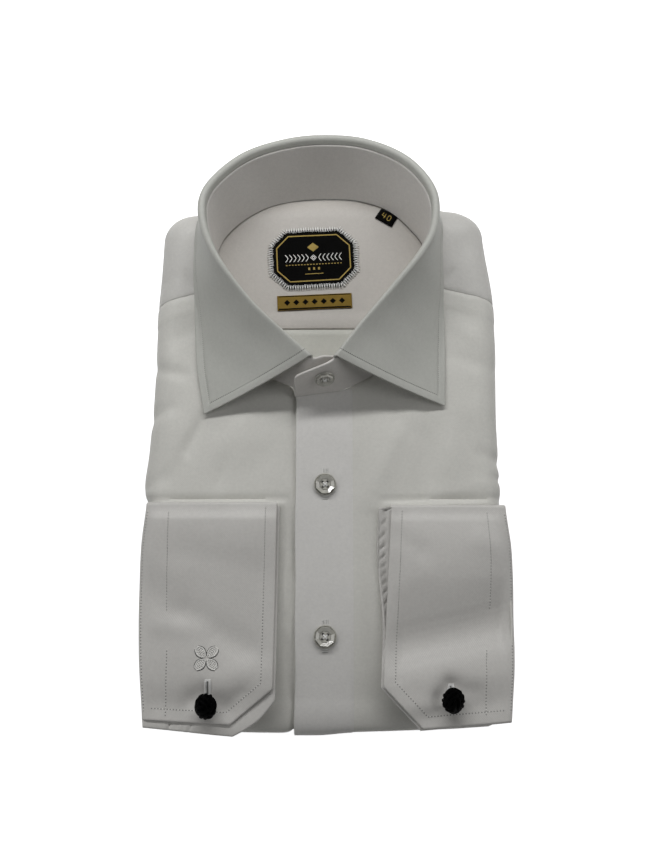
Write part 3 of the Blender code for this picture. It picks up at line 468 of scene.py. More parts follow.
def on_stack(u, v, lift):
    """Places of cloth lying on the stack. u and v are its plan, with the rounded edges unrolled."""
    u, v, lift = (np.asarray(value, float) for value in np.broadcast_arrays(u, v, lift))
    x = u.copy()
    for _ in range(3):
        y = np.clip(v, end_rim(x, -1), end_rim(x, 1))
        right, left, rim = side_at(y)
        x = np.clip(u, rim - right, left - rim)
    out_x, out_y = u - x, v - y
    distance = np.hypot(out_x, out_y)
    safe = np.maximum(distance, 1e-9)
    reach_x = out_x / safe * (rim + lift)
    reach_y = out_y / safe * (END_RIM + lift)
    reach = np.maximum(np.hypot(reach_x, reach_y), 1e-9)
    rise = lowered_crown(x, y) + lift - RIM_HEIGHT
    quarter = quarter_turn(reach, rise)
    tuck = TUCK_RADIUS + lift
    turn = np.where(distance < quarter, math.pi / 2.0 * distance / quarter,
                    math.pi / 2.0 + (distance - quarter) / tuck)
    upper = turn <= math.pi / 2.0
    along = np.where(upper, reach * np.sin(turn), reach - tuck * (1.0 - np.sin(turn)))
    z = RIM_HEIGHT + np.where(upper, rise, tuck) * np.cos(turn)
    along = np.where(distance < 1e-6, 0.0, along / reach)
    return points_of(x + reach_x * along, y + reach_y * along, z)


def height_on_stack(x, y, lift):
    """Height over a plan place, on the stack's rounded top."""
    right, left, rim = side_at(y)
    half = np.where(np.asarray(x) < 0, right, left)
    at_side = 1.0 - (half + lift - np.abs(x)) / (rim + lift)
    at_top = 1.0 - (shoulder_fold(x) + lift - y) / (END_RIM + lift)
    at_bottom = 1.0 - (y + lift - bottom_fold(x)) / (END_RIM + lift)
    out = np.hypot(np.maximum(0.0, at_side), np.maximum(0.0, np.maximum(at_top, at_bottom)))
    rise = lowered_crown(x, y) + lift - RIM_HEIGHT
    return RIM_HEIGHT + rise * np.sqrt(1.0 - np.minimum(1.0, out) ** 2)


def end_rim(x, end):
    """Where the rounding starts at the bottom (end -1) or the shoulders (end 1)."""
    return bottom_fold(x) + END_RIM if end < 0 else shoulder_fold(x) - END_RIM


def side_rim(y, side):
    """Where the rounding starts at the wearer's right (side -1) or left (side 1)."""
    right, left, rim = side_at(y)
    return rim - right if side < 0 else left - rim


def rim_stations(step=3.0):
    """Where the rounding starts all round the stack, and the way it faces."""
    corners = {}
    for side, end in CORNERS:
        x = 90.0 * side
        for _ in range(6):
            y = end_rim(x, end)
            x = float(side_rim(y, side))
        corners[side, end] = (x, float(y))

    def between(start, finish):
        return np.linspace(start, finish, int(abs(finish - start) / step), endpoint=False)[1:]

    def along_end(start, finish, end):
        xs = between(start, finish)
        return [(x, y, 0.0, float(end)) for x, y in zip(xs, end_rim(xs, end))]

    def along_side(start, finish, side):
        ys = between(start, finish)
        return [(x, y, float(side), 0.0) for x, y in zip(side_rim(ys, side), ys)]

    def round_corner(side, end, turns):
        x, y = corners[side, end]
        return [(x, y, side * math.cos(turn), end * math.sin(turn)) for turn in turns]

    from_side = np.radians(np.linspace(0, 90, 13))
    from_end = from_side[::-1]
    stations = along_end(0.0, corners[-1, -1][0], -1) + round_corner(-1, -1, from_end)
    stations += along_side(corners[-1, -1][1], corners[-1, 1][1], -1) + round_corner(-1, 1, from_side)
    stations += along_end(corners[-1, 1][0], corners[1, 1][0], 1) + round_corner(1, 1, from_end)
    stations += along_side(corners[1, 1][1], corners[1, -1][1], 1) + round_corner(1, -1, from_side)
    stations += along_end(corners[1, -1][0], 0.0, -1)
    return np.array(stations)


def unrolled_rim():
    """The far edge of the cloth that turns under, unrolled."""
    x, y, out_x, out_y = rim_stations().T
    reach = np.hypot(out_x * (side_at(y)[2] + PANEL_LIFT), out_y * (END_RIM + PANEL_LIFT))
    far = quarter_turn(reach, crown(x, y) + PANEL_LIFT - RIM_HEIGHT)
    far = far + TUCK_TURN * (TUCK_RADIUS + PANEL_LIFT)
    return points_of(x + out_x * far, y + out_y * far)[::-1]


# ------------------------------------------------------------------ mesh making
def place_piece(name, points, faces, finish, node=None, smooth=45):
    """A finished piece from points in millimetres, riding on the shirt."""
    mesh = bpy.data.meshes.new(name)
    mesh.from_pydata((np.asarray(points) * MM).tolist(), [], faces)
    mesh.validate()
    tidy = bmesh.new()
    tidy.from_mesh(mesh)
    bmesh.ops.recalc_face_normals(tidy, faces=tidy.faces)
    tidy.to_mesh(mesh)
    tidy.free()
    mesh.shade_smooth()
    mesh.set_sharp_from_angle(angle=math.radians(smooth))
    mesh.materials.append(finish)
    piece = bpy.data.objects.new(name, mesh)
    bpy.context.scene.collection.objects.link(piece)
    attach(piece, "root")
    if node:
        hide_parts(node)
    return piece


def grid_faces(rows, columns):
    starts = [r * columns + c for r in range(rows - 1) for c in range(columns - 1)]
    return [(k, k + 1, k + columns + 1, k + columns) for k in starts]


def ring_faces(rings, columns, closed=False):
    """Faces between rings of points, and from the last ring to the first if closed."""
    faces = []
    for r in range(rings - 1 + closed):
        here, after = r * columns, (r + 1) % rings * columns
        for c in range(columns):
            d = (c + 1) % columns
            faces.append((here + c, here + d, after + d, after + c))
    return faces


def shell(upper, lower, faces):
    """Points and faces of two skins alike, joined round their rim."""
    count = len(upper)
    sides = {(here, after): None for face in faces for here, after in zip(face, face[1:] + face[:1])}
    rim = [(here, after) for here, after in sides if (after, here) not in sides]
    skins = [tuple(face) for face in faces] + [tuple(index + count for index in face[::-1]) for face in faces]
    walls = [(after, here, here + count, after + count) for here, after in rim]
    return np.concatenate([upper, lower]), skins + walls


def normals_of(grid):
    return unit(np.cross(np.gradient(grid, axis=0), np.gradient(grid, axis=1)))


def cloth_wall(name, grid, half, finish, node, upper_extra=0.0):
    """A cloth wall on a grid of points, half as thick each way: piece, upper points, normals."""
    half = np.broadcast_to(half, grid.shape[:2])[..., None]
    extra = np.broadcast_to(upper_extra, grid.shape[:2])[..., None]
    normals = normals_of(grid)
    upper, lower = grid + normals * (half + extra), grid - normals * half
    points, faces = shell(upper.reshape(-1, 3), lower.reshape(-1, 3), grid_faces(*grid.shape[:2]))
    return place_piece(name, points, faces, finish, node, 60), upper, normals


def rounded(distance, half, radius=0.8, least=0.3):
    """Half thickness near a turned edge, so that the edge is round."""
    share = 1.0 - np.clip(distance / radius, 0.0, 1.0)
    return half * np.maximum(least, np.sqrt(1.0 - share ** 2))


def lengths_along(grid, axis):
    """Distance run along a grid's lines, from their start."""
    steps = np.linalg.norm(np.diff(grid, axis=axis), axis=-1)
    run = np.cumsum(steps, axis=axis)
    shape = list(run.shape)
    shape[axis] = 1
    return np.concatenate([np.zeros(shape), run], axis=axis)


# --------------------------------------------------------------- pattern pieces
def distance_to_lines(points, starts, ends):
    """How far each plan point is from the nearest of some straight lines."""
    best = np.full(len(points), 1e9)
    for start, end in zip(starts, ends):
        along = end - start
        share = np.clip((points - start) @ along / max(along @ along, 1e-9), 0.0, 1.0)
        away = np.linalg.norm(points - start - share[:, None] * along, axis=1)
        best = np.minimum(best, away)
    return best


def distance_to_outline(points, outline):
    return distance_to_lines(points, outline, np.roll(outline, -1, axis=0))


def inside(points, outline):
    """Whether plan points lie inside an outline."""
    x, y = points[:, 0], points[:, 1]
    found = np.zeros(len(points), bool)
    for (x0, y0), (x1, y1) in zip(outline, np.roll(outline, -1, axis=0)):
        crosses = (y0 > y) != (y1 > y)
        with np.errstate(divide="ignore", invalid="ignore"):
            at = x0 + (y - y0) * (x1 - x0) / (y1 - y0)
        found ^= crosses & (x < at)
    return found


def denser(outline, step):
    """An outline with points at least every step."""
    made = []
    for start, end in zip(outline, np.roll(outline, -1, axis=0)):
        count = max(1, int(np.linalg.norm(end - start) / step))
        made += [start + (end - start) * k / count for k in range(count)]
    return np.array(made)


def pattern_mesh(outline, step, rows_in=(0.3, 0.9)):
    """Triangles over a plan outline, cut where the stack's cloth ends."""
    rim = unrolled_rim()
    low = np.maximum(outline.min(axis=0), rim.min(axis=0))
    high = np.minimum(outline.max(axis=0), rim.max(axis=0))
    across = np.arange(low[0] + step / 2.0, high[0], step)
    along = np.arange(low[1] + step / 2.0, high[1], step)
    shift = (np.arange(len(along)) % 2)[:, None] * step / 2.0
    points = points_of(across[None, :] + shift, along[:, None]).reshape(-1, 2)
    points = points[inside(points, outline) & inside(points, rim)]
    near, edge = distance_to_outline(points, outline), distance_to_outline(points, rim)
    points = points[(near > max(rows_in) + 0.5 * step) & (edge > 0.5 * step)]
    fine = denser(outline, step * 0.8)
    inward = turned_left(unit(np.roll(fine, -1, axis=0) - np.roll(fine, 1, axis=0)))
    for row in rows_in:
        beside = fine + inward * row
        keep = distance_to_outline(beside, outline) > row * 0.9
        beside = beside[keep & inside(beside, outline) & inside(beside, rim)]
        beside = beside[distance_to_outline(beside, rim) > 0.5]
        points = np.concatenate([points, beside])
    count, total = len(rim), len(rim) + len(fine)
    cloud = [Vector(point) for point in np.concatenate([rim, fine, points])]
    made = delaunay_2d_cdt(cloud, [], [list(range(count)), list(range(count, total))], 1, 1e-4)
    verts, _, faces, _, _, origins = made
    faces = [face for face, origin in zip(faces, origins) if len(set(origin)) > 1]
    used = sorted({index for face in faces for index in face})
    renumber = {index: k for k, index in enumerate(used)}
    places = np.array([verts[index] for index in used])
    return places, [tuple(renumber[index] for index in face) for face in faces]


def cut_cloth(node, outline, lift, finish, step=2.6, low_lift=LOW_LIFT):
    """A panel cut to a plan outline and laid on the stack. lift gives its top from plan places."""
    outline = np.array(outline, float)
    after = np.roll(outline, -1, axis=0)
    if np.sum(outline[:, 0] * after[:, 1] - after[:, 0] * outline[:, 1]) < 0:
        outline = outline[::-1]
    plan, faces = pattern_mesh(outline, step)
    u, v = plan.T
    edge = distance_to_outline(plan, outline)
    relief = folds_height(CREASES, u, v, tapered=True) + looseness(u, v)
    top = lift(u, v) + relief - 0.45 * (1.0 - rounded(edge, 1.0, 0.9, 0.0))
    low = np.minimum((low_lift(u, v) if callable(low_lift) else low_lift) + relief, top - 0.5)
    points, faces = shell(on_stack(u, v, top), on_stack(u, v, low), faces)
    return place_piece(node + "_cloth", points, faces, finish, node, 50)


# -------------------------------------------------------------- thread and tape
class Bundle:
    """Many small strands, made into one piece."""

    def __init__(self):
        self.points, self.faces, self.count = [], [], 0

    def add(self, points, faces):
        self.points.append(np.asarray(points, float))
        self.faces += [tuple(index + self.count for index in face) for face in faces]
        self.count += len(points)

    def strand(self, line, ups, radii, sides=5, closed=False, flat=1.0):
        """A round or flattened strand along a line of points."""
        line = np.asarray(line, float)
        ups = np.broadcast_to(np.asarray(ups, float), line.shape)
        radii = np.broadcast_to(np.asarray(radii, float), (len(line),))
        if closed:
            way = unit(np.roll(line, -1, axis=0) - np.roll(line, 1, axis=0))
        else:
            way = unit(np.gradient(line, axis=0))
        side = unit(np.cross(way, ups))
        over = unit(np.cross(side, way))
        turns = math.tau * np.arange(sides) / sides
        ring = (np.cos(turns)[None, :, None] * side[:, None, :]
                + flat * np.sin(turns)[None, :, None] * over[:, None, :])
        faces = ring_faces(len(line), sides, closed)
        if not closed:
            faces.append(tuple(range(sides))[::-1])
            faces.append(tuple(range((len(line) - 1) * sides, len(line) * sides)))
        self.add((line[:, None, :] + ring * radii[:, None, None]).reshape(-1, 3), faces)

    def place(self, name, finish, slot, node=None):
        return place_piece(name, np.concatenate(self.points), self.faces, finish, node, 70)


def run_along(line, normals, starts, lengths, samples):
    """Short stretches of a line, each as a few points and their normals."""
    run = lengths_along(line, 0)
    for start, length in zip(starts, lengths):
        at = start + np.linspace(0.0, length, samples)
        yield (points_of(*(np.interp(at, run, axis) for axis in line.T)),
               unit(points_of(*(np.interp(at, run, axis) for axis in normals.T))))


STITCH_ARCH = np.array([-0.30, 0.02, 0.10, 0.02, -0.30])
STITCH_SWELL = np.array([0.45, 0.95, 1.05, 0.95, 0.45])
HOLE_SWELL = np.array([0.5, 1.0, 0.5])


def sew(bundle, line, normals, holes, length, gap, width, sink, hole, seed):
    """A row of stitches along a line on the cloth, with dark strands between them: painted shade for the
    needle's holes.
    """
    total = lengths_along(line, 0)[-1]
    uneven = np.random.default_rng(seed)
    starts, lengths, at = [], [], 0.6
    while at + length < total:
        starts.append(at)
        lengths.append(length * uneven.uniform(0.9, 1.08))
        at += length + gap
    for points, ups in run_along(line, normals, starts, lengths, 5):
        arched = points + ups * (STITCH_ARCH - sink)[:, None]
        bundle.strand(arched, ups, width / 2.0 * STITCH_SWELL, flat=0.75)
    gaps = [start + length + gap * 0.10 for start in starts]
    for points, ups in run_along(line, normals, gaps, [gap * 0.8] * len(gaps), 3):
        holes.strand(points + ups * 0.03, ups, HOLE_SWELL * hole, 6, flat=0.35)


def crossing_line(grid, normals, field, level, keep):
    """Where a field passes a level along each line of a grid, as far as keep stays above it too."""
    line, ups = [], []
    for r in range(len(grid)):
        below = field[r] < level
        change = np.nonzero(below[1:] != below[:-1])[0]
        if len(change) == 0:
            continue
        c = change[0]
        share = (level - field[r, c]) / (field[r, c + 1] - field[r, c])
        if mix(keep[r, c], keep[r, c + 1], share) >= level:
            line.append(mix(grid[r, c], grid[r, c + 1], share))
            ups.append(mix(normals[r, c], normals[r, c + 1], share))
    return np.array(line), unit(np.array(ups))


class Surface:
    """Finds where plan places fall on a finished piece, from above."""

    def __init__(self, piece):
        mesh = piece.data
        self.tree = BVHTree.FromPolygons([vertex.co / MM for vertex in mesh.vertices],
                                         [tuple(face.vertices) for face in mesh.polygons])

    def drop(self, plan, lift=0.0):
        line, ups = [], []
        for x, y in plan:
            place, normal, _, _ = self.tree.ray_cast(Vector((x, y, 200.0)), Vector((0.0, 0.0, -1.0)))
            if place is not None:
                line.append(place + normal * lift)
                ups.append(normal)
        return np.array(line), np.array(ups)


def even_line(corners, step=0.8):
    """Points at even steps along straight lines between corners."""
    corners = np.array(corners, float)
    made = [corners[:1]]
    for start, end in zip(corners, corners[1:]):
        count = max(2, int(np.linalg.norm(end - start) / step))
        made.append(start + (end - start) * np.linspace(0, 1, count + 1)[1:, None])
    return np.concatenate(made)


# -------------------------------------------------------------------- materials
def feed(tree, place, value):
    if isinstance(value, Field):
        tree.links.new(value.socket, place)
    else:
        place.default_value = value


class Field:
    """A value that varies over a surface, for use in plain sums."""

    def __init__(self, tree, socket):
        self.tree, self.socket = tree, socket

    def work(self, operation, *values):
        node = self.tree.nodes.new("ShaderNodeMath")
        node.operation = operation
        for place, value in zip(node.inputs, values):
            feed(self.tree, place, value)
        return Field(self.tree, node.outputs[0])

    def __add__(self, other):
        return self.work("ADD", self, other)

    def __sub__(self, other):
        return self.work("SUBTRACT", self, other)

    def __rsub__(self, other):
        return self.work("SUBTRACT", other, self)

    def __mul__(self, other):
        return self.work("MULTIPLY", self, other)

    __radd__ = __add__
    __rmul__ = __mul__


class Finish:
    """A material, made from fields."""

    def __init__(self, name, **constants):
        self.material = bpy.data.materials.new(name)
        self.material.use_nodes = True
        self.tree = self.material.node_tree
        self.shader = self.tree.nodes["Principled BSDF"]
        for place, value in constants.items():
            self.shader.inputs[place.replace("_", " ")].default_value = value
        self.at = self.node("ShaderNodeTexCoord", {}, {}, "Object")
        apart = self.tree.nodes.new("ShaderNodeSeparateXYZ")
        self.tree.links.new(self.at.socket, apart.inputs[0])
        self.x, self.y, _ = (Field(self.tree, output) for output in apart.outputs)

    def node(self, kind, settings, values, output=0):
        made = self.tree.nodes.new(kind)
        for name, value in settings.items():
            setattr(made, name, value)
        for place, value in values.items():
            feed(self.tree, made.inputs[place], value)
        return Field(self.tree, made.outputs[output])

    def noise(self, size, detail=2.0):
        """Soft noise whose blotches are about a size in millimetres."""
        values = {"Vector": self.at, "Scale": 1.0 / (size * MM), "Detail": detail}
        return self.node("ShaderNodeTexNoise", {}, values)

    def lines(self, spacing, direction, wander=0.6):
        """Fine parallel lines a distance apart in millimetres."""
        scale = math.tau / (20.0 * spacing * MM)
        return self.node("ShaderNodeTexWave", {"bands_direction": direction},
                         {"Vector": self.at, "Scale": scale, "Distortion": wander, "Detail": 1.0,
                          "Detail Scale": 0.4})

    def between(self, value, low, high):
        """0 to 1 as a value goes from low to high, smoothly."""
        return self.node("ShaderNodeMapRange", {"interpolation_type": "SMOOTHSTEP"},
                         {"Value": value, "From Min": low, "From Max": high})

    def colour(self, first, second, share):
        """The base colour, from a first one to a second as share goes from 0 to 1."""
        mixed = self.node("ShaderNodeMix", {"data_type": "RGBA"}, {0: share, 6: first, 7: second}, 2)
        feed(self.tree, self.shader.inputs["Base Color"], mixed)

    def relief(self, height, depth):
        """Bump of a depth in millimetres."""
        bump = self.node("ShaderNodeBump", {}, {"Height": height, "Distance": depth * MM, "Strength": 1.0})
        self.tree.links.new(bump.socket, self.shader.inputs["Normal"])


def tone(colour, factor=1.0):
    return (*(channel * factor for channel in colour), 1.0)


def cotton(name, colour, seam=None, weave=0.035):
    """Fine twill shirting. Cloth doubled below a yoke seam looks whiter there."""
    finish = Finish(name, Roughness=0.50, Sheen_Weight=0.06, Sheen_Roughness=0.5)
    cloud = finish.noise(34.0, 2.0)
    mottle = finish.noise(2.4, 3.0)
    grain = finish.noise(1.1, 2.0)
    twill = finish.lines(0.62, "DIAGONAL")
    share = (0.5 + 0.55 * (cloud - 0.5) + 0.9 * (mottle - 0.5) + 0.9 * (grain - 0.5)
             + 0.10 * (twill - 0.5))
    if seam:
        slope = (seam.y1 - seam.y0) / (seam.x1 - seam.x0)
        below = (seam.y0 - slope * seam.x0) * MM + slope * finish.x - finish.y
        end = seam.doubled - 0.5
        share = share + 0.30 * (1.0 - finish.between(below, (end - 1.0) * MM, end * MM))
    finish.colour(tone(colour, 0.93), tone(colour, 1.07), share)
    finish.relief(twill * 0.5 + grain * 0.6 + mottle * 0.5, weave)
    return finish.material


def sewing_thread(name, colour):
    finish = Finish(name, Roughness=0.6, Sheen_Weight=0.2)
    share = finish.noise(0.5, 1.0)
    finish.colour(tone(colour, 0.85), tone(colour, 1.1), share)
    finish.relief(share, 0.05)
    return finish.material


def woven_satin(name, colour, **constants):
    finish = Finish(name, Roughness=0.42, Sheen_Weight=0.01, Specular_IOR_Level=0.04, **constants)
    yarn = finish.lines(0.35, "Y", 0.3)
    warp = finish.lines(0.5, "X", 0.5)
    patch = finish.noise(3.0)
    share = 0.25 + 0.4 * yarn + 0.2 * warp + 0.3 * patch
    finish.colour(tone(colour, 0.6), tone(colour, 1.5), share)
    finish.relief(yarn * 0.7 + warp * 0.5, 0.08)
    return finish.material


def twisted_silk(name, colour):
    finish = Finish(name, Roughness=0.42, Specular_IOR_Level=0.02)
    fibre = finish.lines(0.32, "DIAGONAL", 2.0)
    patch = finish.noise(1.6, 3.0)
    finish.colour(tone(colour, 0.5), tone(colour, 2.2), fibre * 0.5 + patch * 0.4)
    finish.relief(fibre, 0.12)
    return finish.material


def clear_resin(name):
    finish = Finish(name, Roughness=0.10, IOR=1.56, Transmission_Weight=0.25, Coat_Weight=0.5)
    # Clear resin gets a grey base colour with light and dark blotches: painted reflections and refracted
    # shade for its facets.
    finish.colour((0.48, 0.47, 0.41, 1.0), (0.82, 0.81, 0.75, 1.0), finish.noise(2.2, 2.0))
    return finish.material


SHIRT_WHITE = (0.65, 0.643, 0.60)
front_cloth_right = cotton("front_cloth_right", SHIRT_WHITE, YOKE_SEAM_RIGHT)
front_cloth_left = cotton("front_cloth_left", SHIRT_WHITE, YOKE_SEAM_LEFT)
plain_cloth = cotton("plain_cloth", SHIRT_WHITE)
placket_cloth = cotton("placket_cloth", (0.68, 0.67, 0.645))
# The collar leaf is the shirt's cotton made darker: painted shade for its sloping leaf.
collar_cloth = cotton("collar_cloth", (0.495, 0.50, 0.463), weave=0.045)
# The cuffs are the shirt's cotton made darker: painted shade for how the light falls on them.
cuff_cloth = cotton("cuff_cloth", (0.59, 0.577, 0.55), weave=0.045)
yoke_cloth = cotton("yoke_cloth", (0.62, 0.61, 0.58))
inner_cloth = cotton("inner_cloth", (0.50, 0.475, 0.44))
back_cloth = cotton("back_cloth_inside", (0.54, 0.54, 0.49))
# The band is the collar's cloth made lighter and warmer: painted light to lift the shade inside the collar.
band_cloth = cotton("band_cloth", (0.66, 0.64, 0.61))
light_thread = sewing_thread("light_thread", (0.58, 0.58, 0.55))
cuff_thread = sewing_thread("cuff_thread", (0.80, 0.79, 0.76))
shaded_thread = sewing_thread("shaded_thread", (0.34, 0.34, 0.31))
border_thread = sewing_thread("border_thread", (0.86, 0.86, 0.84))
hole_shade = sewing_thread("hole_shade", (0.12, 0.12, 0.11))
stitch_shade = sewing_thread("stitch_shade", (0.17, 0.17, 0.16))
deep_shade = sewing_thread("deep_shade", (0.05, 0.05, 0.045))
motif_thread = sewing_thread("motif_thread", (0.84, 0.83, 0.80))
silk = twisted_silk("black_silk_cord", (0.0005, 0.0005, 0.0006))
label_satin = woven_satin("label_satin", (0.0008, 0.0008, 0.0007))
gold_satin = woven_satin("gold_satin", (0.19, 0.125, 0.026), Metallic=0.1)
gold_yarn = woven_satin("gold_yarn", (0.38, 0.28, 0.085), Metallic=0.1)
resin = clear_resin("clear_button_resin")


# ------------------------------------------------------------------- the panels
def seam_y(seam, x):
    return seam.y0 + (seam.y1 - seam.y0) * (x - seam.x0) / (seam.x1 - seam.x0)


def half_necks(inset=0.0):
    """The right and the left half of the neck seam, moved inwards."""
    neck = rows_through([(row.seam_x, row.seam_y) for row in COLLAR], NECK_POINTS)
    neck = neck - turned_left(unit(np.gradient(neck, axis=0))) * inset
    return np.split(neck, [NECK_POINTS // 2])


def cross_at(line, axis, value):
    """Where a plan line first crosses an X (axis 0) or a Y (axis 1)."""
    away = line[:, axis] - value
    index = np.nonzero(away[:-1] * away[1:] <= 0.0)[0][0]
    share = away[index] / (away[index] - away[index + 1])
    return tuple(mix(line[index], line[index + 1], share))


def part_of(line, keep):
    """The points of a plan line that a test of X and Y keeps."""
    return [tuple(point) for point in line if keep(*point)]


def below_yoke(seam, u, v):
    """Top of a front near its yoke seam: two layers below the seam, sunk under the yoke."""
    below = seam_y(seam, u) - v
    doubled = 0.40 * (1.0 - ease(below, seam.doubled - 2.5, seam.doubled)) - 0.45 * bell(below, 1.0)
    return PANEL_LIFT + doubled - 0.9 * ease(-below, -0.3, 0.3)


def lay_right_front():
    neck, seam, edge = half_necks()[0], YOKE_SEAM_RIGHT, PLACKET_RIGHT + UNDERLAP
    top, end = seam_y(seam, -YOKE_SEAM_END), seam_y(seam, -FAR) + UNDER_YOKE
    outline = [(edge, -FAR), cross_at(neck, 0, edge)]
    outline += part_of(neck, lambda x, y: x < edge and y < top - 1.0)
    outline += [cross_at(neck, 1, top + UNDER_YOKE), (-FAR, end), (-FAR, -FAR)]

    def lift(u, v):
        """Pressed down unevenly along the placket's edge, and under it."""
        worn = 1.0 + 0.4 * np.sin(0.09 * v) * np.sin(0.031 * v + 1.0)
        groove = worn * (1.1 * bell(u - PLACKET_RIGHT, 2.0) + 0.9 * bell(u - PLACKET_RIGHT, 5.5))
        return below_yoke(seam, u, v) - groove - 0.3 * ease(u, PLACKET_RIGHT, PLACKET_RIGHT + 2.0)
    return cut_cloth("front_right", outline, lift, front_cloth_right, step=2.0)


def lay_left_front():
    neck, seam, edge = half_necks()[1], YOKE_SEAM_LEFT, PLACKET_LEFT - LEFT_UNDERLAP
    top, end = seam_y(seam, YOKE_SEAM_END), seam_y(seam, FAR) + UNDER_YOKE
    outline = [(FAR, -FAR), (FAR, end), cross_at(neck, 1, top + UNDER_YOKE)]
    outline += part_of(neck, lambda x, y: x > edge and y < top - 1.0)
    outline += [cross_at(neck[::-1], 0, edge), (edge, -FAR)]

    def lift(u, v):
        return below_yoke(seam, u, v) - 0.5 * (1.0 - ease(u, edge, edge + 3.0))
    return cut_cloth("front_left", outline, lift, front_cloth_left, step=2.0)


def lay_placket():
    """The placket, whose folded edge wavers a little."""
    right, left = PLACKET_RIGHT + SEAM_GAP / 2.0, PLACKET_LEFT + 3.0
    outline = [(right + 0.22 * math.sin(0.11 * v) + 0.16 * math.sin(0.043 * v + 1.0), v)
               for v in np.arange(8.0, -190.0, -6.0)]
    outline += [(right, -FAR), (left, -FAR), (left, PLACKET_HEAD[0][1]), *PLACKET_HEAD]

    def lift(u, v):
        return mix(3.0, 1.80, ease(u, -6.0, PLACKET_LEFT)) - 1.0 * ease(u, PLACKET_LEFT - 0.5, left)

    def low_lift(u, v):
        return mix(0.4, 0.2, ease(u, 4.0, 14.0))
    return cut_cloth("placket", outline, lift, placket_cloth, step=1.7, low_lift=low_lift)


def lay_outer_yoke():
    right_neck, left_neck = half_necks()
    right_top, left_top = seam_y(YOKE_SEAM_RIGHT, -YOKE_SEAM_END), seam_y(YOKE_SEAM_LEFT, YOKE_SEAM_END)
    half_gap = SEAM_GAP / 2.0
    outline = [(-FAR, seam_y(YOKE_SEAM_RIGHT, -FAR) + half_gap),
               cross_at(right_neck, 1, right_top + half_gap)]
    outline += part_of(right_neck, lambda x, y: y > right_top + 0.5)
    outline += part_of(left_neck, lambda x, y: y > left_top + 0.5)
    outline += [cross_at(left_neck, 1, left_top + half_gap), (FAR, seam_y(YOKE_SEAM_LEFT, FAR) + half_gap)]
    outline += [(FAR, FAR), (-FAR, FAR)]

    def lift(u, v):
        above = v - np.where(u < 0, seam_y(YOKE_SEAM_RIGHT, u), seam_y(YOKE_SEAM_LEFT, u))
        return PANEL_LIFT + 0.1 - 0.3 * bell(above, 1.0)
    return cut_cloth("yoke_outer", outline, lift, yoke_cloth)


def inner_yoke_rise(y):
    """The inner yoke rises over the seam allowance at its lower edge."""
    return 0.45 * (1.0 - ease(y, 66.0, 72.0))


def lay_inner_yoke():
    right_neck, left_neck = half_necks(SEAM_GAP)
    seam = INNER_YOKE_SEAM + SEAM_GAP / 2.0
    outline = [cross_at(right_neck, 1, seam)]
    outline += part_of(np.concatenate([right_neck, left_neck]), lambda x, y: y > seam)
    outline += [cross_at(left_neck, 1, seam)]
    return cut_cloth("yoke_inner", outline, lambda u, v: PANEL_LIFT + inner_yoke_rise(v), inner_cloth,
                     step=2.2)


def lay_back():
    """What shows of the back inside the neck, which goes a little under the inner yoke."""
    right_neck, left_neck = half_necks(SEAM_GAP)
    seam = INNER_YOKE_SEAM + 2.0
    outline = part_of(right_neck, lambda x, y: y < seam) + [cross_at(right_neck, 1, seam)]
    outline += [cross_at(left_neck, 1, seam)] + part_of(left_neck, lambda x, y: y < seam)

    def lift(u, v):
        return PANEL_LIFT - 0.4 * ease(v, 58.0, 59.8) + 0.35 * bell(v - 56.8, 1.8)
    return cut_cloth("back", outline, lift, back_cloth, step=2.2)


def lay_hidden_layers():
    """The folded back, tails and sleeves, whose edges show one over another."""
    x, y, out_x, out_y = rim_stations(2.6).T
    reach_x, reach_y = out_x * side_at(y)[2], out_y * END_RIM
    reach = np.hypot(reach_x, reach_y)
    run = np.cumsum(np.hypot(np.diff(x, append=x[0]), np.diff(y, append=y[0])) + 0.6)
    whole = run / run[-1] * math.tau

    def ring(inset, z):
        moved = reach - inset
        return points_of(x + reach_x / reach * moved, y + reach_y / reach * moved, z)
    rings = []
    layers = rows_through(UNDER_LAYERS, 3 * len(UNDER_LAYERS) - 2)
    for index, (inset, z) in enumerate(layers):
        deep = index / (len(layers) - 1)
        wander = (0.9 * np.sin(3 * whole + 2.1 + 4.0 * deep) + 0.6 * np.sin(7 * whole + 0.4 + 7.0 * deep)
                  + 0.35 * np.sin(17 * whole + 9.0 * deep)) * math.sin(math.pi * min(1.0, 1.4 * deep))
        rise = 0.35 * np.sin(4 * whole + 1.0) * math.sin(math.pi * deep)
        rings.append(ring(np.maximum(0.3, inset + wander), np.maximum(0.0, z + rise)))
    top = rings[0] - points_of(reach_x, reach_y, 0.0) / reach[:, None] * 12.0
    grid = np.array([top, *rings, ring(7.0, 0.0), ring(20.0, 0.0)])
    count, columns = grid.shape[:2]
    ends = [tuple(range(columns)), tuple(range((count - 1) * columns, count * columns))[::-1]]
    return place_piece("hidden_layers_cloth", grid.reshape(-1, 3), ring_faces(count, columns) + ends,
                       plain_cloth, "hidden_layers", 50)


# ------------------------------------------------------------------- the collar
def foot_height(x, y):
    """Height of the band's lower edge, which stands on the panels."""
    middle = (PLACKET_RIGHT + PLACKET_LEFT) / 2.0
    on_placket = (1.0 - ease(np.abs(x - middle), 14.0, 24.0)) * (1.0 - ease(y, 19.0, 24.0))
    return height_on_stack(x, y, mix(PANEL_LIFT, PLACKET_LIFT, on_placket) + 1.0)


Frames = namedtuple("Frames", "foot up out centre radius angle edge tail")


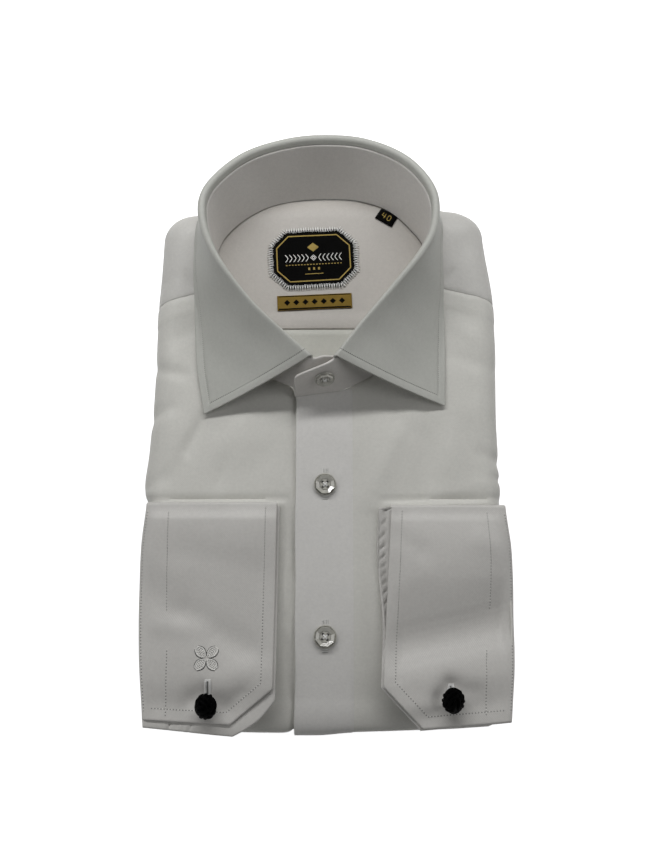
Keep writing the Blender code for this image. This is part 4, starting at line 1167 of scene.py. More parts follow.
def fold_frames(at):
    """The collar's fold at some rows: the band's foot and way up, the roll and the leaf's edge.

    The tail is how far the leaf goes down behind the band, which is least at its front ends.
    """
    rows = through(range(LAST + 1), COLLAR, at)
    radius = mix(ROLL_AT_FRONT, ROLL_AT_BACK, np.sin(math.pi * (at / LAST)))[:, None]
    foot = points_of(rows[:, 0], rows[:, 1], foot_height(rows[:, 0], rows[:, 1]))
    crest, edge = rows[:, 2:5], rows[:, 5:8]
    up = unit(crest - foot)
    centre = crest - up * radius
    leaf = unit(edge - centre)
    rise = np.sum(leaf * up, axis=-1, keepdims=True)
    out = unit(leaf - up * rise)
    angle = np.arctan2(np.sum(leaf * out, axis=-1, keepdims=True), rise)
    tail = mix(0.3, ROLL_DROP, ease(np.minimum(at, LAST - at), 0.05, 0.35))[:, None]
    return Frames(foot, up, out, centre, radius, angle, edge, tail)


def leaf_grid():
    """The leaf's middle: up behind the band, over the roll and down to the edge."""
    front = np.array(NEAR_FRONT)
    at = np.concatenate([front, np.linspace(0.42, LAST - 0.42, 168), LAST - front[::-1]])
    _, up, out, centre, radius, angle, edge, tail = fold_frames(at)
    columns = [centre - out * radius - up * tail * drop for drop in np.linspace(1.0, 0.0, 4)[:-1]]
    for turn in (angle * part for part in np.linspace(0.0, 1.0, 13)):
        columns.append(centre - out * radius * np.cos(turn) + up * radius * np.sin(turn))
    start = columns[-1]
    side = unit(np.cross(up * np.cos(angle) + out * np.sin(angle), np.cross(up, out)))
    side = side * np.sign(np.sum(side * out, axis=-1, keepdims=True))
    length = np.linalg.norm(edge - start, axis=-1, keepdims=True)
    shares = [part * (1.0 - NEAR_EDGE[0] / length) for part in np.linspace(0.0, 1.0, 30)[1:-1]]
    shares += [1.0 - away / length for away in NEAR_EDGE]
    for part in shares:
        columns.append(start + (edge - start) * part + side * (LEAF_SAG * 4.0 * part * (1.0 - part)))
    grid = np.stack(columns, axis=1)
    x, y, z = np.moveaxis(grid, -1, 0)
    in_front = ease(-y, -100.0, -70.0)
    floor = height_on_stack(x, y, PANEL_LIFT) + LEAF_CLEAR
    lowered = z - ease(np.arange(len(columns)), 16, len(columns) - 1) * (LEAF_TIP_DROP * in_front)
    over = lowered - floor
    settled = np.where(in_front > 0.0, floor + (over + np.sqrt(over * over + 0.5)) / 2.0, lowered)
    return points_of(x, y, settled)


def lay_collar_leaf():
    """The turned-down leaf, thinner at its edges, with a row of topstitching."""
    grid = leaf_grid()
    x, y, _ = np.moveaxis(grid, -1, 0)
    to_edge = lengths_along(grid[:, ::-1], 1)[:, ::-1]
    to_start, to_end = (distance_to_lines(grid.reshape(-1, 3), line[:-1], line[1:]).reshape(x.shape)
                        for line in (grid[0], grid[-1]))
    to_front = np.minimum(to_start, to_end)
    rim = np.minimum(to_edge, to_front)
    past_roll = ease(np.arange(x.shape[1]), 12, 22)
    soft = (0.30 * np.sin(0.07 * x + 0.05 * y + 1.0) + 0.22 * np.sin(0.12 * x - 0.09 * y)
            + 0.12 * np.sin(0.21 * y + 0.17 * x + 2.0)) * past_roll * ease(rim, 0.0, 12.0)
    puff = 0.10 * np.sin(math.pi * np.clip(rim / TOPSTITCH_IN, 0, 1))
    groove = -0.30 * bell(rim - TOPSTITCH_IN, 0.75)
    hem = 0.10 * (1.0 - ease(rim, TOPSTITCH_IN - 0.5, TOPSTITCH_IN + 0.5))
    leaf, upper, ups = cloth_wall(
        "collar_leaf_cloth", grid + normals_of(grid) * soft[..., None], rounded(rim, LEAF_HALF, 0.45, 0.3),
        collar_cloth, "collar_leaf", upper_extra=puff + groove + hem)
    front_thread, edge_thread, holes = Bundle(), Bundle(), Bundle()
    for field, seed in ((to_start, 3), (to_end, 4)):
        line, lifted = crossing_line(upper.swapaxes(0, 1), ups.swapaxes(0, 1), field.T, TOPSTITCH_IN,
                                     to_edge.T)
        sew(front_thread, line, lifted, holes, length=0.60, gap=0.70, width=0.36, sink=0.06, hole=0.36,
            seed=seed)
    line, lifted = crossing_line(upper, ups, to_edge, TOPSTITCH_IN, to_front)
    sew(edge_thread, line, lifted, holes, length=0.80, gap=0.50, width=0.30, sink=0.10, hole=0.22, seed=5)
    # The holes piece is dark strands: painted shade for the needle holes.
    return leaf, [front_thread.place("collar_front_stitches", shaded_thread, "collar_cotton"),
                  edge_thread.place("collar_edge_stitches", light_thread, "collar_cotton"),
                  holes.place("collar_stitch_hole_shade", hole_shade, "collar_cotton")]


def lay_collar_band():
    """The band inside the leaf, whose front ends lap and are buttoned."""
    frames = fold_frames(np.linspace(0, LAST, 2 * LAST + 1))
    top = frames.centre - frames.out * frames.radius - frames.up * (frames.tail + SEAM_GAP)
    start = rows_through(BAND_START, 3)
    finish = rows_through(BAND_FINISH, 2 * len(BAND_FINISH) - 1)
    sections = np.concatenate([
        np.column_stack([start[:, :2], foot_height(*start[:, :2].T), start[:, 2:]]),
        np.column_stack([frames.foot, top]),
        np.column_stack([finish[:, :2], height_on_stack(*finish[:, :2].T, BAND_ON_PLACKET), finish[:, 2:]])])
    dense = rows_through(sections, 4 * len(sections))
    grid = mix(dense[:, None, :3], dense[:, None, 3:], np.array(BAND_LEVELS)[None, :, None])
    x, y, z = np.moveaxis(grid, -1, 0)
    # the front end is in the last fifth of the sections
    front = ease(np.arange(len(dense)), len(dense) * 0.80, len(dense) * 0.84)[:, None]
    relief = folds_height(BAND_CREASES, x, z) * front + 0.12 * np.sin(0.11 * x + 0.16 * y)
    to_top = lengths_along(grid[:, ::-1], 1)[:, ::-1]
    run = lengths_along(grid, 0)
    half = rounded(np.minimum(to_top, np.minimum(run[-1:] - run, run)), BAND_HALF, 0.9, 0.25)
    return cloth_wall("collar_band_cloth", grid - normals_of(grid) * relief[..., None], half, band_cloth,
                      "collar_band")[0]


# --------------------------------------------------------------- cuffs, sleeves
def end_rise(y):
    """How far the cuffs and sleeves rise towards the bottom fold."""
    return CUFF_RISE * ease(-y, CUFF_RISE_START, CUFF_RISE_END)


def cuff_floor(x, y):
    """Height of the middle of a cuff's under leaf."""
    return crown(x, y) + (PANEL_LIFT + CUFF_REST + CUFF_HALF + end_rise(y))


def cuff_seam(cuff, level):
    bulge = cuff.outer_mid - (cuff.outer_top + cuff.outer_low) / 2.0
    return mix(cuff.outer_top, cuff.outer_low, level) + 4.0 * level * (1.0 - level) * bulge


def cuff_side(cuff, level):
    """The cuff's outer edge, which wraps over the sleeve's seam."""
    return cuff_seam(cuff, level) + CUFF_WRAP * (0.55 + 0.45 * ease(level, 0.0, 0.2))


def cuff_places(cuff, across, level, shows):
    """Plan places in one leaf: across from sleeve to hand, level from top to bottom."""
    outer_y = mix(cuff.top_y, cuff.low_y - shows.below * UNDER_LEAF_SEAM, level)
    down = np.minimum(level / CORNER_LEVEL, 1.0)
    past = np.clip((level - CORNER_LEVEL) / (1.0 - CORNER_LEVEL), 0.0, 1.0)
    above = level < CORNER_LEVEL
    hand_x = np.where(above, mix(cuff.hand_top, cuff.hand_low, down), mix(cuff.hand_low, cuff.tip_x, past))
    hand_y = np.where(above, mix(cuff.top_y, cuff.corner_y - shows.below, down),
                      mix(cuff.corner_y, cuff.tip_y, past) - shows.below)
    bulge = shows.round * np.sin(math.pi * past)
    hand_x = hand_x - shows.hand * (1.0 - ease(level, HAND_SHIFT_START, HAND_SHIFT_END)) - shows.beside
    hand_x, hand_y = hand_x - 0.66 * bulge, hand_y - 0.75 * bulge
    return cuff.side * mix(cuff_side(cuff, level), hand_x, across), mix(outer_y, hand_y, across)


def cuff_shape(cuff, x, y):
    """Rise and fall of a cuff's front leaf, with its soft folds."""
    slant = cuff.slant * (np.abs(x) - 72.0) * ease(-y, 72.0, 120.0)
    heights = through([row.down for row in cuff.rows], [row.height for row in cuff.rows], slant - y)
    return heights + folds_height(cuff.folds, x, y)


def free_edges(cuff, levels, shows):
    """Corners of a leaf down its edge at the hand and along its lower edge."""
    ends = [cuff_places(cuff, 1.0, level, shows) for level in levels]
    return np.array([*ends, cuff_places(cuff, 0.0, 1.0, shows)], float)


def distance_to_edges(x, y, corners):
    return distance_to_lines(points_of(x, y).reshape(-1, 2), corners[:-1], corners[1:]).reshape(x.shape)


def under_leaf(cuff, across, up):
    """The leaf that lies on the front, from its lower edge up."""
    x, y = cuff_places(cuff, across, up, cuff.under)
    dip = np.minimum(0.0, cuff_shape(cuff, x, y)) * 0.52 * ease(up, 0.1, 0.4)
    dip = dip * (1.0 - 0.5 * ease(across, 0.8, 1.0)) * (1.0 - ease(up, 0.8, 0.95))
    z = cuff_floor(x, y) + dip * (0.35 + 0.65 * ease(across, 0.0, 0.12))
    if cuff.under.hand:
        in_from_edge = (1.0 - across) * np.abs(x[:1] - x[-1:])
        slant = y - 0.9 * cuff.side * x + 1.2 * np.sin(0.13 * y)
        pucker = (np.sin(1.02 * slant) + 0.4 * np.sin(2.04 * slant + 1.1)) * bell(in_from_edge - 3.0, 2.6)
        z = z + (1.0 - ease(up, 0.60, 0.74)) * (
            1.2 * bell(in_from_edge, 1.2) - 1.1 * bell(in_from_edge - 4.4, 2.4)
            + 0.66 * pucker * (0.75 + 0.25 * np.sin(0.21 * y)))
    else:
        z = z + ease(up, 0.90, 1.0) * (0.4 * np.sin(0.16 * x) + 0.15 * np.sin(0.47 * x + 1.0))
        z = z + folds_height(UNDER_LEAF_CREASES, x, y)
    return points_of(x, y, z + ease(up, 0.88, 1.0) * (1.1 + 0.8 * np.sin(math.pi * across) ** 0.7))


def top_fold(cuff, across):
    """The round fold that joins the two leaves."""
    x, y = cuff_places(cuff, across, 0.0, FRONT_LEAF)
    middle = cuff_floor(x, y) + CUFF_ROUND
    return points_of(x, y + CUFF_ROUND * np.sin(CUFF_TURNS), middle - CUFF_ROUND * np.cos(CUFF_TURNS))


def front_leaf(cuff, across, down, rim):
    """The leaf on top, fuller in its middle and pressed at its edges."""
    x, y = cuff_places(cuff, across, down, FRONT_LEAF)
    full = (cuff.fullness * np.sin(math.pi * across) ** 0.7 * ease(down, 0.0, 0.35)
            * (1.0 - 0.75 * ease(down, 0.78, 1.0)))
    from_seam = across * np.abs(x[:1] - x[-1:])
    shape = cuff_shape(cuff, x, y) * (0.6 + 0.4 * ease(rim, 0.0, 12.0))
    shape = shape * (0.35 + 0.65 * ease(from_seam, 0.0, 9.0))
    z = cuff_floor(x, y) + 2.0 * CUFF_ROUND + full + shape * ease(down, 0.0, 0.07)
    z = z + 0.6 * ease(-y, 165.0, 192.0) - 1.1 * (1.0 - ease(from_seam, 0.0, 3.2)) * ease(down, 0.0, 0.1)
    return points_of(x, y, z)


def lay_cuff(cuff):
    """Two leaves joined by the fold at the top, open at the bottom."""
    across, down = CUFF_ACROSS[:, None], CUFF_DOWN[None, :]
    up = down[:, ::-1]
    corners = free_edges(cuff, (0.0, CORNER_LEVEL, 1.0), FRONT_LEAF)
    rim = distance_to_edges(*cuff_places(cuff, across, down, FRONT_LEAF), corners)
    under_rim = distance_to_edges(*cuff_places(cuff, across, up, cuff.under),
                                  free_edges(cuff, UNDER_LEAF_LEVELS, cuff.under))
    grid = np.concatenate([under_leaf(cuff, across, up), top_fold(cuff, across),
                           front_leaf(cuff, across, down, rim)], axis=1)
    at_fold = np.full((len(across), len(CUFF_TURNS)), 50.0)
    away = np.concatenate([under_rim, at_fold, rim], axis=1)
    half = rounded(np.minimum(away, lengths_along(grid, 0)), CUFF_HALF, 0.8, 0.25)
    extra = 0.10 * np.sin(math.pi * np.clip(away / CUFF_STITCH_IN, 0, 1)) * ease(away, 0.3, 1.4)
    extra = extra - 0.14 * bell(away - CUFF_STITCH_IN, 0.8)
    extra[:, :-len(CUFF_DOWN)] = 0.0
    if cuff.side > 0:
        grid, half, extra = grid[::-1], half[::-1], extra[::-1]
    return cloth_wall(cuff.name + "_cloth", grid, half, cuff_cloth, cuff.name, upper_extra=extra)[0]


def inset_corners(corners, inset, side):
    """A run of straight lines moved inwards by a distance."""
    inward = turned_left(unit(np.diff(corners, axis=0))) * side
    starts, ends = corners[:-1] + inward * inset, corners[1:] + inward * inset
    line = [starts[0]]
    for a, b, c, d in zip(starts, ends, starts[1:], ends[1:]):
        share = np.linalg.solve(np.array([b - a, c - d]).T, c - a)[0]
        line.append(a + (b - a) * share)
    return np.array(line + [ends[-1]])


def cut_line(corners, share_start, share_end):
    """Part of a run of straight lines, between two shares of its length."""
    fine = even_line(corners, 0.4)
    run = lengths_along(fine, 0)
    return fine[(run >= share_start * run[-1]) & (run <= share_end * run[-1])]


def sew_cuff(cuff, piece):
    """Topstitching, the row beside the sleeve and the link's buttonhole. Dark strands are painted shade for
    the needle holes and the buttonhole's slit.
    """
    surface = Surface(piece)
    thread, satin, holes = Bundle(), Bundle(), Bundle()
    path = inset_corners(free_edges(cuff, (0.0, CORNER_LEVEL, 1.0), FRONT_LEAF), CUFF_STITCH_IN, cuff.side)
    path[-1] = path[-2] + (path[-1] - path[-2]) * 0.92
    beside_seam = [cuff_places(cuff, 0.018, level, FRONT_LEAF) for level in np.linspace(0.02, 0.96, 12)]
    rows = [even_line(path, 0.5), cut_line(cuff.sleeve_line, 0.0, 0.50),
            cut_line(cuff.sleeve_line, 0.68, 1.0), even_line(beside_seam, 0.5)]
    for k, row in enumerate(rows):
        sew(thread, *surface.drop(row), holes, length=0.95, gap=0.90, width=0.46, sink=0.02, hole=0.36,
            seed=cuff.seed + k)
    x, y = cuff.knot
    low, high = y + 2.0, y + cuff.slot
    for offset in (-1.3, 1.3):
        for at in np.arange(low, high, 0.40):
            line, ups = surface.drop([(x + offset + d, at) for d in (-0.8, -0.3, 0.3, 0.8)])
            satin.strand(line + ups * [[0.1], [0.55], [0.55], [0.1]], ups, (0.2, 0.27, 0.27, 0.2))
    for at in np.arange(high, high + 1.2, 0.42):
        line, ups = surface.drop([(x + d, at) for d in (-1.8, -0.9, 0.0, 0.9, 1.8)])
        satin.strand(line + ups * [[0.05], [0.35], [0.42], [0.35], [0.05]], ups, 0.22)
    # A dark strand down the buttonhole: painted shade for its slit.
    line, ups = surface.drop(even_line([(x, low), (x, high)], 0.6))
    holes.strand(line + ups * 0.06, ups, 0.34, 6)
    return [thread.place(cuff.name + "_stitches", cuff_thread, "shirt_cotton"),
            satin.place(cuff.name + "_buttonhole", border_thread, "shirt_cotton"),
            holes.place(cuff.name + "_stitch_hole_shade", stitch_shade, "shirt_cotton")]


def embroider_motif(piece):
    """Four small leaves in satin stitch, a little lighter than the cloth, with dark strands round their
    edges: painted shadow of the raised stitches.
    """
    surface = Surface(piece)
    thread, shade = Bundle(), Bundle()
    centre = Vector((-70.6, -148.0))
    for quarter in range(4):
        turn = math.radians(45 + 90 * quarter)
        way, side = Vector((math.cos(turn), math.sin(turn))), Vector((-math.sin(turn), math.cos(turn)))
        edges = ([], [])
        for index, at in enumerate(np.arange(1.4, 9.0, 0.38)):
            wide = 2.4 * math.sin(math.pi * (at - 1.0) / 8.3) ** 0.8
            place = centre + way * at
            for edge, sign in zip(edges, (-1.0, 1.0)):
                edge.append((place + side * (sign * wide), place + side * (sign * (wide + 0.62))))
            if index % 3 < 2:
                line, ups = surface.drop([place + side * (wide * k) - way * (0.5 * abs(k))
                                          for k in (-1.0, -0.5, 0.0, 0.5, 1.0)])
                thread.strand(line + ups * [[-0.05], [0.22], [0.30], [0.22], [-0.05]], ups, 0.2)
        for edge in edges:
            near, beyond = zip(*edge)
            line, ups = surface.drop(near)
            thread.strand(line + ups * 0.35, ups, 0.34, 6)
            line, ups = surface.drop(beyond)
            shade.strand(line + ups * 0.05, ups, 0.24)
    return [thread.place("cuff_motif", motif_thread, "shirt_cotton"),
            shade.place("cuff_motif_edge", hole_shade, "shirt_cotton")]


def lay_sleeve(cuff):
    """The strip of sleeve from the cuff's seam round the side of the stack."""
    out, z = rows_through(SLEEVE_SECTION, 34).T
    y = np.linspace(SLEEVE_BOTTOM, SLEEVE_TOP, 150)[:, None]
    half = side_at(y)[0 if cuff.side < 0 else 1]
    seam = np.maximum(cuff_seam(cuff, (y - cuff.top_y) / (cuff.low_y - cuff.top_y)), half + SLEEVE_CLEAR)
    share = (z - z[-1]) / (z[0] - z[-1])
    gathers = (0.16 * np.sin(0.29 * y + 0.5 + 1.2 * share) + 0.10 * np.sin(0.71 * y - 1.6 * share)
               + 0.22 * np.sin(0.09 * y + 2.0)) * np.sin(math.pi * np.clip(1.0 - share, 0, 1))
    to_end = np.minimum(y - SLEEVE_BOTTOM, SLEEVE_TOP - y)
    tuck = 1.8 * (1.0 - ease(to_end, 0.0, 7.0)) * share
    grid = points_of(cuff.side * (seam + out + gathers - tuck), y, z + end_rise(y) * share ** 2)
    to_edge = np.minimum(lengths_along(grid, 1), lengths_along(grid[:, ::-1], 1)[:, ::-1])
    name = cuff.name.replace("cuff", "sleeve")
    return cloth_wall(name + "_cloth", grid, rounded(np.minimum(to_end, to_edge), SLEEVE_HALF, 0.7, 0.3),
                      plain_cloth, name)[0]


# ------------------------------------------------------------ buttons and knots
def octagon(radius, turns):
    """Radius of an octagon's outline at each turn."""
    eighth = math.tau / 8.0
    return radius * math.cos(eighth / 2.0) / np.cos((turns + eighth / 2.0) % eighth - eighth / 2.0)


def button_disc(radius, hole, offset, count):
    """Triangles of a disc with four holes in it."""
    turns, small = math.tau * np.arange(count) / count, math.tau * np.arange(16) / 16
    loops = [points_of(np.cos(turns), np.sin(turns)) * radius]
    loops += [points_of(dx * offset + hole * np.cos(small), dy * offset + hole * np.sin(small))
              for dx, dy in CORNERS]
    starts = np.cumsum([0] + [len(loop) for loop in loops])
    rings = [list(range(a, b)) for a, b in zip(starts, starts[1:])]
    cloud = [Vector(point) for point in np.concatenate(loops)]
    verts, _, faces, _, _, origins = delaunay_2d_cdt(cloud, [], rings, 1, 1e-5)
    faces = [tuple(face) for face, origin in zip(faces, origins) if set(origin) == {0}]
    return np.array(verts), faces, rings


def make_button(diameter, count=64):
    """A clear button with eight facets round a dished middle, and four holes."""
    radius = diameter / 2.0
    turns = math.tau * np.arange(count) / count
    points = []
    for ring in BUTTON_RINGS:
        reach = ring.radius * radius
        if ring.faceted:
            reach = octagon(reach * 1.04, turns)
        points.append(points_of(reach * np.cos(turns), reach * np.sin(turns), ring.height * BUTTON_HEIGHT))
    faces = ring_faces(len(BUTTON_RINGS), count)
    disc, disc_faces, loops = button_disc(BUTTON_RINGS[0].radius * radius, HOLE_RADIUS * radius,
                                          BUTTON_HOLE * radius, count)
    inner = disc[count:]
    low, high = len(faces) + count, len(faces) + count + len(inner)
    for ring, rim, first in ((BUTTON_RINGS[0], 0, low), (BUTTON_RINGS[-1], len(faces), high)):
        points.append(points_of(*inner.T, ring.height * BUTTON_HEIGHT))
        faces += [tuple(rim + index if index < count else first + index - count for index in face)
                  for face in disc_faces]
    for loop in loops[1:]:
        for here, after in zip(loop, loop[1:] + loop[:1]):
            faces.append((low + here - count, low + after - count, high + after - count, high + here - count))
    return np.concatenate(points), faces


def turn_about(points, spin, outward, place):
    """Points made about Z, turned to face outward and moved to a place."""
    across = np.array([math.cos(spin), math.sin(spin), 0.0])
    first = unit(across - outward * (across @ outward))
    return np.asarray(points) @ np.stack([first, np.cross(outward, first), outward]) + place


def cross_thread(offset, height):
    """Two sewn threads crossing between a button's four holes."""
    over = np.array([0.0, 0.0, 1.0])
    for turn, on_top in ((math.radians(45.0), 0.0), (math.radians(135.0), 0.22)):
        way = np.array([math.cos(turn), math.sin(turn), 0.0])
        along = way * (THREAD_SHARES * (offset * math.sqrt(2.0)))[:, None]
        lift = THREAD_HEIGHTS + on_top * (1.0 - np.abs(THREAD_SHARES)) + height
        for shift in (-0.24, 0.0, 0.24):
            yield along + over * lift[:, None] + np.cross(over, way) * shift


def place_button(node, diameter, place, outward, spin):
    points, faces = make_button(diameter)
    name = node + "_clear"
    place_piece(name, turn_about(points, spin, outward, place), faces, resin, node, 12)
    thread, shade = Bundle(), Bundle()
    hole = BUTTON_HOLE * diameter / 2.0
    for strand in cross_thread(hole, 0.50 * BUTTON_HEIGHT):
        thread.strand(turn_about(strand, spin, outward, place), outward, 0.2, 6)
    # Dark plugs down the four holes: painted shade for their depths.
    for dx, dy in CORNERS:
        deep = [(dx * hole, dy * hole, z) for z in (0.02, 0.4, 0.75)]
        shade.strand(turn_about(deep, spin, outward, place), (1.0, 0.0, 0.0), 0.115 * diameter / 2.0, 12)
    shade.place(name + "_hole_painted_shade", deep_shade, "clear_resin")
    thread.place(name + "_thread", border_thread, "shirt_cotton")


def sew_on_buttons():
    """Two buttons on the placket, each a little tilted and turned, and one on the band."""
    for index, (y, lean, spin) in enumerate(zip(BUTTON_Y, (-0.04, 0.015), (0.06, -0.10))):
        place = (0.0, y, float(height_on_stack(0.0, y, PLACKET_LIFT + SEAM_GAP)) + 0.15)
        outward = unit(np.array([0.04, lean, 1.0]))
        place_button(f"front_button_{index + 1}", FRONT_BUTTON, place, outward, spin)
    first, second = BAND_FINISH[:2]
    row = mix(np.array(first), np.array(second),
              (COLLAR_BUTTON_X - first.seam_x) / (second.seam_x - first.seam_x))
    foot = np.array([*row[:2], height_on_stack(COLLAR_BUTTON_X, first.seam_y, BAND_ON_PLACKET)])
    top = row[2:]
    along = np.array([second.seam_x - first.seam_x, second.seam_y - first.seam_y, 0.0])
    outward = unit(np.cross(top - foot, along))
    place = mix(foot, top, 0.56) + outward * (BAND_HALF + 0.45)
    place_button("collar_button", COLLAR_BUTTON, place, outward, 0.3)


def braided_ball(bundle, centre, radii, cord, tilt, strands=2, count=260):
    """A silk knot's woven cords: five loops round the ball, three deep."""
    t = math.tau * np.arange(count) / count
    long_way, height = 3.0 * t, math.radians(64) * np.cos(5.0 * t)
    over = 1.0 + 0.085 * np.sin(10.0 * t)
    axis = points_of(np.cos(height) * np.cos(long_way), np.cos(height) * np.sin(long_way), np.sin(height))
    axis = axis @ np.array(Euler((*tilt, 0.0)).to_matrix()).T
    way = unit(np.roll(axis, -1, axis=0) - np.roll(axis, 1, axis=0))
    side = unit(np.cross(way, axis))
    for k in range(strands):
        shift = (k - (strands - 1) / 2.0) * 2.0 * cord
        inner = unit(axis + side * (shift / (radii.mean() - cord))) * over[:, None]
        bundle.strand(centre + inner * (radii - cord * 1.12), axis, cord, 8, closed=True)


def ball(bundle, centre, radii, rows=18, columns=28):
    """A filled ball, such as lies under the cords."""
    low = (math.pi * np.arange(1, rows) / rows - math.pi / 2.0)[:, None]
    turns = (math.tau * np.arange(columns) / columns)[None, :]
    rings = points_of(np.cos(low) * np.cos(turns), np.cos(low) * np.sin(turns), np.sin(low)).reshape(-1, 3)
    faces = [tuple(index + 1 for index in face) for face in ring_faces(rows - 1, columns)]
    top, last = len(rings) + 1, len(rings) - columns + 1
    for c in range(columns):
        d = (c + 1) % columns
        faces += [(0, 1 + d, 1 + c), (top, last + c, last + d)]
    bundle.add(np.array([(0.0, 0.0, -1.0), *rings, (0.0, 0.0, 1.0)]) * radii + centre, faces)


def tie_knot(cuff):
    """A silk knot link: a woven ball over the cuff, a stem and a flat knot under it."""
    x, y = cuff.knot
    floor = float(cuff_floor(x, y))
    over = floor + 2.0 * CUFF_ROUND + KNOT_FULLNESS + CUFF_HALF + SEAM_GAP
    under = floor - CUFF_HALF - SEAM_GAP
    cords = Bundle()
    radii = np.array([KNOT_RADIUS - 0.3, (KNOT_RADIUS - 0.5) * KNOT_LONGER, KNOT_HEIGHT / 2.0])
    centre = (x, y, over + KNOT_HEIGHT / 2.0)
    braided_ball(cords, centre, radii, KNOT_CORD, cuff.knot_tilt)
    ball(cords, centre, radii - 1.9)
    stem = [(x, y, under - 1.0), (x, y, (under + over) / 2.0), (x, y, over + 2.0)]
    cords.strand(stem, (0.0, 1.0, 0.0), KNOT_STEM, 10)
    ball(cords, (x, y, under - FAR_KNOT_HEIGHT / 2.0),
         (KNOT_RADIUS - 0.8, KNOT_RADIUS * KNOT_LONGER - 0.8, FAR_KNOT_HEIGHT / 2.0), 10)
    cords.place(cuff.name.replace("cuff", "silk_knot"), silk, "black_silk",
                cuff.name.replace("cuff", "cuff_knot"))


# ----------------------------------------------------------------------- labels
def label_corners(label, inset=0.0):
    """A label's outline across and up it, with its corners cut off if it has cut ones."""
    half_w, half_h = label.width / 2.0 - inset, label.height / 2.0 - inset
    cut = label.corner - inset * 0.586
    outline = []
    for side_x, side_y in ((1, -1), (1, 1), (-1, 1), (-1, -1)):
        ends = [(side_x * half_w, side_y * half_h)]
        if label.corner:
            ends = [(side_x * (half_w - cut), side_y * half_h), (side_x * half_w, side_y * (half_h - cut))]
        outline += ends if side_x * side_y < 0 else ends[::-1]
    return np.array(outline)


def on_label(label, places):
    """Plan places given across and up a label, which may be turned."""
    turn = math.radians(label.turn)
    across, up = np.asarray(places, float).T
    return points_of(label.x + across * math.cos(turn) - up * math.sin(turn),
                     label.y + across * math.sin(turn) + up * math.cos(turn))


def label_height(plan):
    """Height of the inner yoke's top under plan places."""
    x, y = plan.T
    return height_on_stack(x, y, LABEL_LIFT + inner_yoke_rise(y)) + looseness(x, y)


def lay_label(name, label, finish, node, puff=0.1):
    """A woven label, turned in at its edges and a little puffed up."""
    outline = denser(label_corners(label), 1.2)
    low, high = outline.min(axis=0) + 0.7, outline.max(axis=0)
    across, up = np.meshgrid(np.arange(low[0], high[0], 1.4), np.arange(low[1], high[1], 1.4))
    points = points_of(across.ravel(), up.ravel())
    points = points[inside(points, outline) & (distance_to_outline(points, outline) > 0.6)]
    cloud = [Vector(point) for point in np.concatenate([outline, points])]
    verts, _, faces, _, _, _ = delaunay_2d_cdt(cloud, [], [list(range(len(outline)))], 1, 1e-5)
    edge = distance_to_outline(np.array(verts), outline)
    plan = on_label(label, verts)
    base = label_height(plan)
    thick = LABEL_CLOTH * (0.45 + 0.55 * rounded(edge, 1.0, 0.7, 0.0)) + puff * ease(edge, 0.0, 9.0)
    points, faces = shell(np.column_stack([plan, base + thick]), np.column_stack([plan, base]), faces)
    return place_piece(name, points, faces, finish, node, 50)


def weave(piece, label, lines, name, finish, slot):
    """Raised yarns on a label, along lines given across and up it, each with its half width."""
    surface, thread = Surface(piece), Bundle()
    for line, width in lines:
        points, ups = surface.drop(on_label(label, even_line(line)), 0.02)
        thread.strand(points, ups, width, flat=0.45)
    return thread.place(name, finish, slot)


def level_line(middle, up, half):
    return [(middle - half, up), (middle + half, up)]


def overcast_edge():
    """Uneven satin stitches over the main label's edge."""
    border = Bundle()
    outline = denser(label_corners(MAIN_LABEL), 0.8)
    way = unit(np.roll(outline, -1, axis=0) - np.roll(outline, 1, axis=0))
    uneven = np.random.default_rng(7)
    for k, (place, out, along) in enumerate(zip(outline, -turned_left(way), way)):
        lean = (0.45 if k % 2 else -0.45) * uneven.uniform(0.5, 1.3)
        inner_end = place - out * uneven.uniform(1.5, 2.3)
        outer_end = place + out * uneven.uniform(0.9, 2.1) + along * lean
        plan = on_label(MAIN_LABEL, [mix(inner_end, outer_end, share) for share in (0.0, 0.4, 0.75, 1.0)])
        heights = label_height(plan) + (LABEL_CLOTH + 0.15, LABEL_CLOTH + 0.4, 0.85, 0.05)
        border.strand(np.column_stack([plan, heights]), (0.0, 0.0, 1.0), (0.15, 0.23, 0.23, 0.15))
    return border.place("main_label_border", border_thread, "shirt_cotton")


def lay_main_label():
    """A black label with a gold frame and plain woven ornaments."""
    main = lay_label("main_label_satin", MAIN_LABEL, label_satin, "main_label", 0.25)
    frame_line = label_corners(MAIN_LABEL, 4.5)
    gold = [([*frame_line, frame_line[0]], 0.42)]
    for at in np.arange(0.3, 3.0, 0.5):
        gold += [(level_line(0.0, up, (3.0 - at) * 1.3), 0.3) for up in (7.6 + at, 7.6 - at)]
    gold += [(level_line(at, -4.4, 0.55), 0.32) for at in np.arange(-18.0, 18.1, 2.0)]
    for middle in (-3.2, 0.0, 3.2):
        gold += [(level_line(middle, up, 0.65), 0.25) for up in (-8.0, -7.6, -7.2, -6.8)]
    gold.append((level_line(0.0, -11.0, 6.0), 0.25))
    pale = []
    for side in (-1.0, 1.0):
        for at in np.arange(3.4, 18.0, 2.7):
            pale += [([(side * at, 0.3), (side * (at + 0.7), 0.3 + 1.3 * up),
                       (side * (at + 1.7), 0.3 + 2.5 * up)], 0.24) for up in (-1.0, 1.0)]
    for size in (0.9, 1.9):
        pale.append(([(-size, 0.3), (0.0, 0.3 + size), (size, 0.3), (0.0, 0.3 - size), (-size, 0.3)], 0.22))
    return main, [weave(main, MAIN_LABEL, gold, "main_label_gold", gold_yarn, "gold_satin"),
                  weave(main, MAIN_LABEL, pale, "main_label_figure", border_thread, "black_satin"),
                  overcast_edge()]


